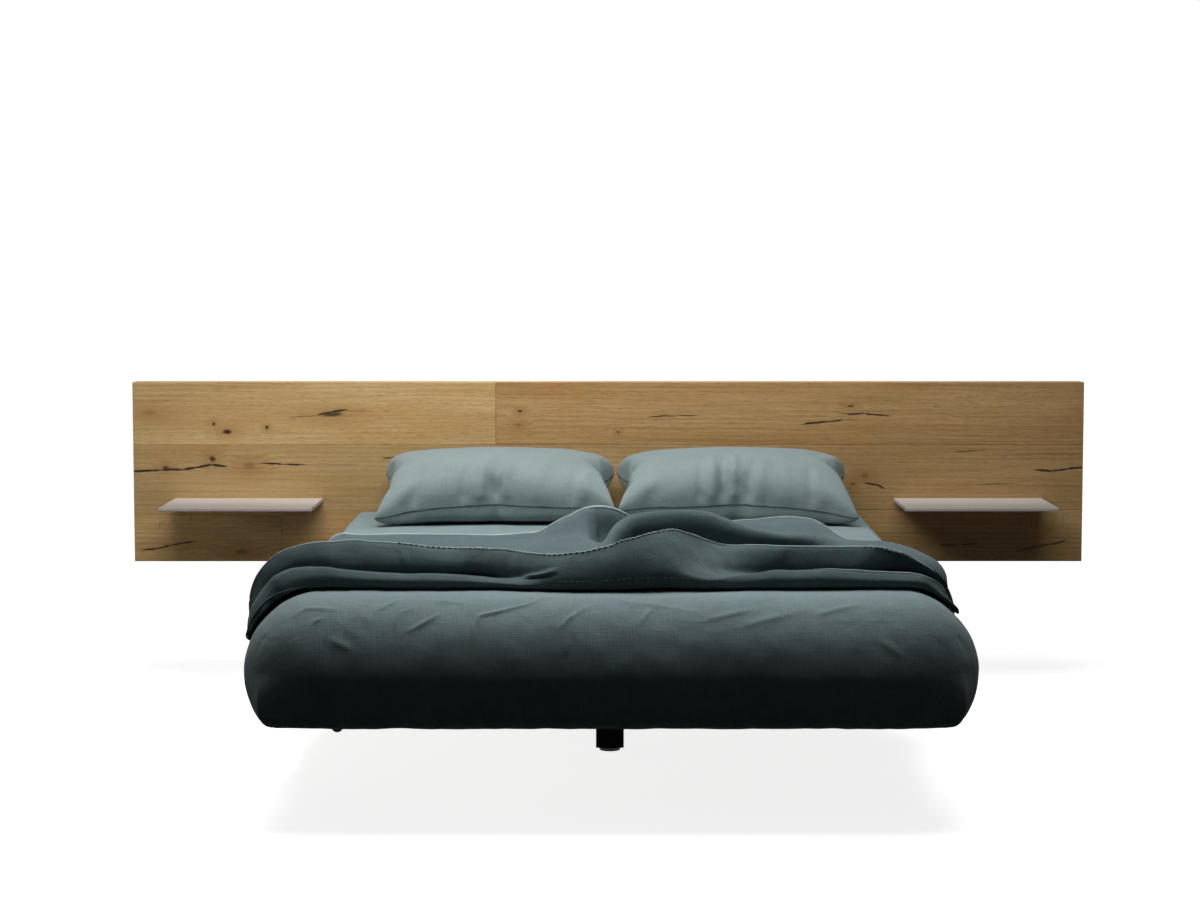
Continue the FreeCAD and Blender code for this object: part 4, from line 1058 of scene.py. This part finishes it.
def over_path(across, along, height):
    """Point at that height over the path that the blanket takes over the bed and down its sides."""
    reach = np.abs(across)
    flat, wide, tall = path_section(along)
    mean = (wide + tall) / 2
    turn = np.clip((reach - flat) / mean, 0, math.pi / 2)
    drop = np.maximum(reach - flat - mean * math.pi / 2, 0)
    x = np.minimum(reach, flat) + wide * np.sin(turn)
    z = path_top - tall * (1 - np.cos(turn)) - drop
    return np.stack([np.sign(across) * (x + height * np.sin(turn)), along, z + height * np.cos(turn)], -1)


def tier(profile, crest_y, crest, base, folded, open_run, depth):
    """Spots down the front of a fold: the profile where folded is 1, a plain slope where it is 0."""
    spots = []
    for (tucked_run, tucked_share), (open_share, slope_share) in zip(profile, sloped):
        run = folded * tucked_run * depth + (1 - folded) * open_run * open_share
        share = folded * tucked_share + (1 - folded) * slope_share
        spots.append((crest_y - run, base + (crest - base) * share))
    return spots


def back_spots(place, cuff_y, cuff):
    """Spots from the upper hem over the ridge to the cuff's crest."""
    hem_y, hem = crest_at(crest_line(hem_pixels, hem_left + hem_right), place[hem_spot])
    ridge_y, ridge = crest_at(crest_line(ridge_pixels, ridge_left + ridge_right), place[ridge_spot])
    hollow = value_at(hem_valley, place[hollow_spot])
    base = value_at(ridge_valley, place[ridge_front])
    fold = share_at(ridge_folds, place[ridge_front])
    peak = np.clip((hem - 0.05) / 0.05, 0, 1)
    steep = share_at(hem_steep, place[hem_front])
    front_y = between((hem_y - 0.04 + 0.02 * peak, hem_y - 0.007), steep)
    front = between((hem + 0.002 - 0.012 * peak, hem * 0.90), steep)
    hollow_y = between(((hem_y + ridge_y) / 2 + 0.02, hem_y - 0.020), steep)
    return [
        (hem_y, hem),
        (front_y, front),
        (hollow_y, between((hollow, 0.022), steep)),
        (ridge_y + 0.036, ridge * 0.74 + hollow * 0.26),
        (ridge_y, ridge),
        *tier(leaning, ridge_y, ridge, base, fold, 0.16, 1.0),
        (ridge_y * 0.30 + cuff_y * 0.70, base * 0.60 + cuff * 0.35),
        (cuff_y + 0.022, cuff - 0.016),
        (cuff_y, cuff),
    ]


def front_spots(place, cuff_y, cuff):
    """Spots from below the cuff's crest over the roll to the edge at the foot."""
    roll_y, roll = crest_at(crest_line(roll_pixels, roll_ends), place[roll_spot])
    roll_end = np.interp(place[roll_spot], *roll_opening)
    depth = np.interp(place[cuff_spot], *cuff_depths)
    front = tier(tucked, cuff_y, cuff, hollow_height + 0.002, 1.0, 0.0, depth)
    front += [(roll_y + 0.022, roll - 0.008), (roll_y, roll)]
    for (run, share), (open_run, open_share) in zip(roll_front, roll_open):
        height = between((hollow_height, roll), between((share, open_share), roll_end))
        front.append((roll_y - between((run, open_run), roll_end), height))
    # Where the cuff lies open its front runs down to the edge in one bow
    fold = share_at(cuff_folds, place[cuff_front])
    edge = value_at(open_edge, place[edge_spot])
    rounding = np.interp(place[cuff_front], *bow_rounding)
    spots = []
    for (y, height), steep_spot, round_spot in zip(front, bowed_steep, bowed_round):
        part, back, share = (between(pair, rounding) for pair in zip(steep_spot, round_spot))
        bow_y = between((cuff_y, edge), part) + back
        bow = between((hollow_height, cuff), share)
        spots.append((between((bow_y, y), fold), between((bow, height), fold)))
    return spots


def blanket_surface():
    """Grid of points on the blanket's outside, rows from the upper hem to the edge at the foot.

    With it come the rows, one for each column, where the cuff's and the roll's crests lie.
    """
    share = np.linspace(-1, 1, blanket_columns)
    order = np.linspace(0, 1, spot_count)
    left, right = value_at(hang_left, order)[:, None], value_at(hang_right, order)[:, None]
    place = share * np.where(share < 0, left, right)
    cuff_y, cuff = crest_at(crest_line(cuff_pixels, cuff_ends), place[cuff_spot])
    spots = back_spots(place, cuff_y, cuff) + front_spots(place, cuff_y, cuff)
    lines = np.array([[place[k], y, height] for k, (y, height) in enumerate(spots)])
    grid = np.empty((blanket_rows, blanket_columns, 3))
    crest_rows = np.empty((2, blanket_columns))
    for c in range(blanket_columns):
        spot = lines[:, :, c]
        steps = np.maximum(lengths(np.diff(spot[:, 1:], axis=0)), spot_step)
        run = np.concatenate([[0.0], np.cumsum(steps)])
        even = np.linspace(0, run[-1], blanket_rows)
        crest_rows[:, c] = run[[cuff_spot, roll_spot]] / run[-1] * (blanket_rows - 1)
        across, along, height = (smooth_through(run, spot[:, k], even) for k in range(3))
        grid[:, c] = over_path(across, along, np.maximum(height, least_height))
    return grid, *crest_rows


def line_at(points, rows):
    """Line across a grid of points, at a row for each column that may lie between two of the grid's."""
    low = np.floor(rows).astype(int)
    part = (rows - low)[:, None]
    column = np.arange(points.shape[1])
    return points[low, column] * (1 - part) + points[low + 1, column] * part


def within(path, ends):
    """Which points of a path lie between two places across."""
    return (path[:, 0] > ends[0]) & (path[:, 0] < ends[1])


def make_blanket():
    points, cuff_rows, roll_rows = blanket_surface()
    normals = outward_normals(points)
    lift = ripples(points, blanket_waves)
    for path, width, height in blanket_wrinkles:
        lift += crease(points, path, width, height)
    spare = np.clip((points[..., 2] - path_top - 0.008) / 0.02, 0.05, 1.0)
    hollows = np.where(np.abs(points[..., 0]) < level_half, spare, side_share)
    lift = np.where(lift < 0, lift * hollows, lift)
    points = points + normals * lift[..., None]
    width = np.cumsum(lengths(np.diff(points, axis=1, prepend=points[:, :1])), axis=1)
    length = np.cumsum(lengths(np.diff(points, axis=0, prepend=points[:1])), axis=0)
    blanket = grid_piece("blanket_cloth", points, np.stack([width, length], -1), blanket_linen)
    thicken(blanket, "thickness", blanket_thickness)
    extras = blanket_hems(points, normals)
    extras += blanket_seams(points, normals, cuff_rows, roll_rows)
    extras += side_hems(points, normals)
    for piece in [blanket, *extras]:
        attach(piece, "blanket")
    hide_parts("blanket")


def blanket_hems(points, normals):
    """Beads along the upper and the lower hem."""
    radius = np.interp(points[0, :, 0], [0.05, 0.30], [0.0042, 0.0024])
    # The upper hem bead is real, and its pale colour is a painted highlight along the hem's crest
    upper = cord_piece("blanket_upper_hem", points[0] - normals[0] * 0.001, radius, highlight_hem_linen)
    path = points[lower_hem_row] + normals[lower_hem_row] * 0.0005
    return [upper, cord_piece("blanket_lower_hem", path, 0.003, blanket_linen)]


def side_hems(points, normals):
    hems = []
    for column, side in ((0, "left"), (-1, "right")):
        path = points[:, column] - normals[:, column] * 0.002
        hems.append(cord_piece("blanket_side_hem_" + side, path, 0.0036, blanket_linen))
    return hems


def blanket_seams(points, normals, cuff_rows, roll_rows):
    """Seam of the cuff, pale as a painted highlight on its crest, its stitches, a pale bead as painted
    highlight along the roll's crest, and stitches along the lower edge.
    """
    cuff = line_at(points, cuff_rows)
    # The cuff's seam is a real bead, and its pale colour is a painted highlight along the crest
    seams = [cord_piece("blanket_cuff_seam", cuff + seam_shift, 0.0028, highlight_hem_linen)]
    thread = cuff + stitch_shift + np.outer(cuff[:, 0] > right_start, right_shift)
    for side, ends in cuff_stitches.items():
        path = thread[within(thread, ends)]
        seams.append(stitches("blanket_cuff_stitches_" + side, path, pale_thread, 0.0017))
    # Pale bead along the roll's crest: a painted highlight
    roll = line_at(points, roll_rows)
    roll = roll[within(roll, roll_highlight_ends)]
    taper = np.sin(np.linspace(roll_highlight_tip, np.pi - roll_highlight_tip, len(roll))) ** 0.5
    seams.append(cord_piece("blanket_roll_highlight", roll + roll_highlight_shift, roll_highlight_radius * taper, highlight_hem_linen))
    low = points[edge_row] + normals[edge_row] * 0.001
    path = low[within(points[edge_row], edge_stitches)]
    seams.append(stitches("blanket_edge_stitches", path, hem_thread, 0.0011))
    return seams


make_blanket()


# Pillows

case_width, case_depth, case_bulge = 0.80, 0.52, 0.030
case_columns, case_rows = 76, 48
puff_frames = 24
puff_settings = {
    "quality": 5, "mass": 0.25, "tension_stiffness": 25.0, "compression_stiffness": 20.0,
    "shear_stiffness": 8.0, "bending_stiffness": 0.6, "air_damping": 6.0,
    "use_pressure": True, "uniform_pressure_force": 6.0,
}
# Turns of easing for each axis
easing = (10, 10, 30)
# Full width and depth of a pillow, height over its seam and depth under it
pillow_width, pillow_depth, pillow_crown, pillow_belly = 0.705, 0.435, 0.124, 0.085
# How far the outer corner at the front sinks, where it lies and how wide the dip is
corner_sink, corner_x, corner_y, corner_reach = 0.024, 0.35, -0.21, 0.13
pillow_tilt, pillow_y, pillow_z = math.radians(9.5), 0.730, 0.624
# Room over the sheet, height below which a pillow bends to it, softness of that bend and its level
sheet_room, bend_height, bend_soft, bend_level = 0.0012, 0.03, 0.015, 0.0019
seam_radius = 0.0018
# Path, width and height of the folds on each pillow
left_folds = [
    ([(-0.102, -0.205), (-0.085, -0.14), (-0.066, -0.06)], 0.013, -0.007),
    ([(-0.060, -0.210), (-0.036, -0.13), (-0.008, -0.03)], 0.014, 0.009),
    ([(-0.018, -0.216), (0.003, -0.14), (0.025, -0.06)], 0.013, -0.009),
    ([(0.020, -0.200), (0.035, -0.13), (0.053, -0.05)], 0.016, 0.006),
    ([(-0.244, -0.210), (-0.232, -0.17), (-0.215, -0.10)], 0.014, -0.006),
    ([(0.220, -0.205), (0.232, -0.16), (0.250, -0.09)], 0.014, -0.005),
    ([(0.258, -0.200), (0.268, -0.15), (0.285, -0.08)], 0.016, 0.005),
    ([(0.110, -0.200), (0.140, -0.11), (0.185, -0.03)], 0.026, 0.005),
    ([(0.295, 0.150), (0.245, 0.100), (0.205, 0.03)], 0.022, -0.009),
]
right_folds = [
    ([(-0.112, -0.212), (-0.108, -0.14), (-0.098, -0.03)], 0.014, -0.008),
    ([(-0.076, -0.205), (-0.074, -0.12), (-0.070, -0.03)], 0.014, 0.008),
    ([(-0.042, -0.216), (-0.042, -0.14), (-0.040, -0.05)], 0.013, -0.010),
    ([(-0.013, -0.210), (-0.010, -0.13), (-0.004, -0.03)], 0.014, 0.010),
    ([(0.020, -0.214), (0.036, -0.14), (0.065, -0.05)], 0.015, -0.008),
    ([(0.055, -0.200), (0.070, -0.13), (0.095, -0.05)], 0.018, 0.005),
    ([(0.150, -0.195), (0.140, -0.11), (0.152, 0.00)], 0.026, 0.005),
    ([(0.217, -0.212), (0.214, -0.16), (0.216, -0.08)], 0.016, -0.007),
    ([(0.300, 0.155), (0.255, 0.090), (0.235, 0.01)], 0.024, -0.010),
    ([(-0.290, 0.150), (-0.255, 0.090), (-0.235, 0.02)], 0.022, -0.007),
]


def case_piece(name, upper, lower, flat):
    """Case of two grids of points sewn round their edge, and which of the upper points lie on that edge."""
    rim = np.ones(upper.shape[:2], bool)
    rim[1:-1, 1:-1] = False
    top = np.arange(rim.size).reshape(rim.shape)
    under = top.copy()
    under[~rim] = rim.size + np.arange((~rim).sum())
    faces = np.concatenate([grid_faces(top)[:, ::-1], grid_faces(under)])
    points = np.concatenate([upper.reshape(-1, 3), lower[~rim]])
    uv = np.concatenate([flat.reshape(-1, 2), flat[~rim]])
    return face_piece(name, points, faces, uv, pillow_linen), rim


def points_of(piece):
    places = np.empty(len(piece.data.vertices) * 3)
    piece.data.vertices.foreach_get("co", places)
    return places.reshape(-1, 3)


def move_points(piece, points):
    piece.data.vertices.foreach_set("co", points.ravel())
    piece.data.update()


def doubled(line):
    """Line of values with a smooth one put in between each two."""
    knots = np.arange(len(line))
    return smooth_through(knots, line, np.linspace(0, knots[-1], 2 * len(line) - 1))


def finer(grid):
    """Grid with a smooth row and column put in between each two."""
    for axis in (0, 1):
        grid = np.apply_along_axis(doubled, axis, grid)
    return grid


def puffed(name):
    """Case of two flat sheets blown up by cloth simulation, eased and then meshed twice as finely."""
    across = np.linspace(-case_width / 2, case_width / 2, case_columns)
    along = np.linspace(-case_depth / 2, case_depth / 2, case_rows)
    gx, gy = np.meshgrid(across, along)
    inside = (1 - (2 * gx / case_width) ** 2) * (1 - (2 * gy / case_depth) ** 2)
    bulge = case_bulge * np.sqrt(np.clip(inside, 0, None))
    flat = np.stack([gx, gy], -1)
    sewn, rim = case_piece(name, np.dstack([flat, bulge]), np.dstack([flat, -bulge]), flat)
    settle(sewn)
    points = points_of(sewn)
    for axis, turns in enumerate(easing):
        points[:, axis] = eased(sewn, points[:, axis], turns)
    upper = points[:rim.size].reshape(case_rows, case_columns, 3)
    lower = upper.copy()
    lower[~rim] = points[rim.size:]
    bpy.data.meshes.remove(sewn.data)
    return case_piece(name, finer(upper), finer(lower), finer(flat))


def settle(piece):
    """Runs the cloth simulation and keeps its result in the mesh."""
    puff = piece.modifiers.new("puff", "CLOTH")
    for key, value in puff_settings.items():
        setattr(puff.settings, key, value)
    puff.settings.effector_weights.gravity = 0.0
    puff.collision_settings.use_collision = False
    puff.point_cache.frame_end = puff_frames
    for step in range(1, puff_frames + 1):
        scene.frame_set(step)
    points = points_of(piece.evaluated_get(bpy.context.evaluated_depsgraph_get()))
    piece.modifiers.remove(puff)
    move_points(piece, points)
    scene.frame_set(1)


def eased(piece, values, turns):
    """Values at the points after some turns of meeting their neighbours half way."""
    edges = np.empty(len(piece.data.edges) * 2, dtype=np.int32)
    piece.data.edges.foreach_get("vertices", edges)
    first, second = edges.reshape(-1, 2).T
    count = len(values)
    degree = np.bincount(edges, minlength=count)
    for _ in range(turns):
        near = np.bincount(first, values[second], count) + np.bincount(second, values[first], count)
        values = 0.5 * values + 0.5 * near / degree
    return values


def make_pillow(name, middle, outer, folds):
    """Pillow at a middle across the bed, with its outer side at -1 or 1."""
    piece, rim = puffed(name + "_case")
    p = points_of(piece)
    p = (p - (p.max(0) + p.min(0)) / 2) / (p.max(0) - p.min(0))
    level = np.clip(np.abs(2 * p[:, 2]), 0, 1)
    level[:rim.size] *= ~rim.ravel()
    p *= np.array([pillow_width, pillow_depth, 0.0])
    # The upper side has a broad crown, steeper at the back; the lower one falls to the sheet that it lies on
    upper = np.arange(len(p)) < rim.size
    crown = pillow_crown * level ** (0.56 - 0.4 * p[:, 1])
    p[:, 2] = np.where(upper, crown, -pillow_belly * level ** 0.55)
    move_points(piece, p)
    out = np.array([vertex.normal for vertex in piece.data.vertices])
    flat = p * np.array([1.0, 1.0, 0.0])
    rise = sum(crease(flat, [(*spot, 0.0) for spot in path], width, height) for path, width, height in folds)
    p += out * (rise * upper * np.clip(level / 0.1, 0, 1))[:, None]
    from_corner = (p[:, 0] - outer * corner_x) ** 2 + (p[:, 1] - corner_y) ** 2
    p[:, 2] -= corner_sink * np.exp(-from_corner / corner_reach ** 2)
    y = p[:, 1] * math.cos(pillow_tilt) - p[:, 2] * math.sin(pillow_tilt)
    z = p[:, 1] * math.sin(pillow_tilt) + p[:, 2] * math.cos(pillow_tilt)
    p = np.stack([p[:, 0] + middle, y + pillow_y, z + pillow_z], -1)
    ground = cover_top + sheet_room
    over = p[:, 2] - ground
    bent = bend_soft * np.log1p(np.exp(np.clip(over / bend_soft, -40, 40))) - bend_level
    p[:, 2] = np.maximum(ground + np.where(over > bend_height, over, bent), ground)
    move_points(piece, p)
    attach(piece, name)
    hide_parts(name)
    edge = np.arange(rim.size).reshape(rim.shape)
    loop = np.concatenate([edge[0, :-1], edge[:-1, -1], edge[-1, :0:-1], edge[::-1, 0]])
    # The seam bead is real, and its dark colour is painted shadow in the crease
    seam = cord_piece(name + "_seam", p[loop], seam_radius, seam_shadow_thread)
    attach(seam, name)


make_pillow("pillow_left", -0.335, -1, left_folds)
make_pillow("pillow_right", 0.380, 1, right_folds)
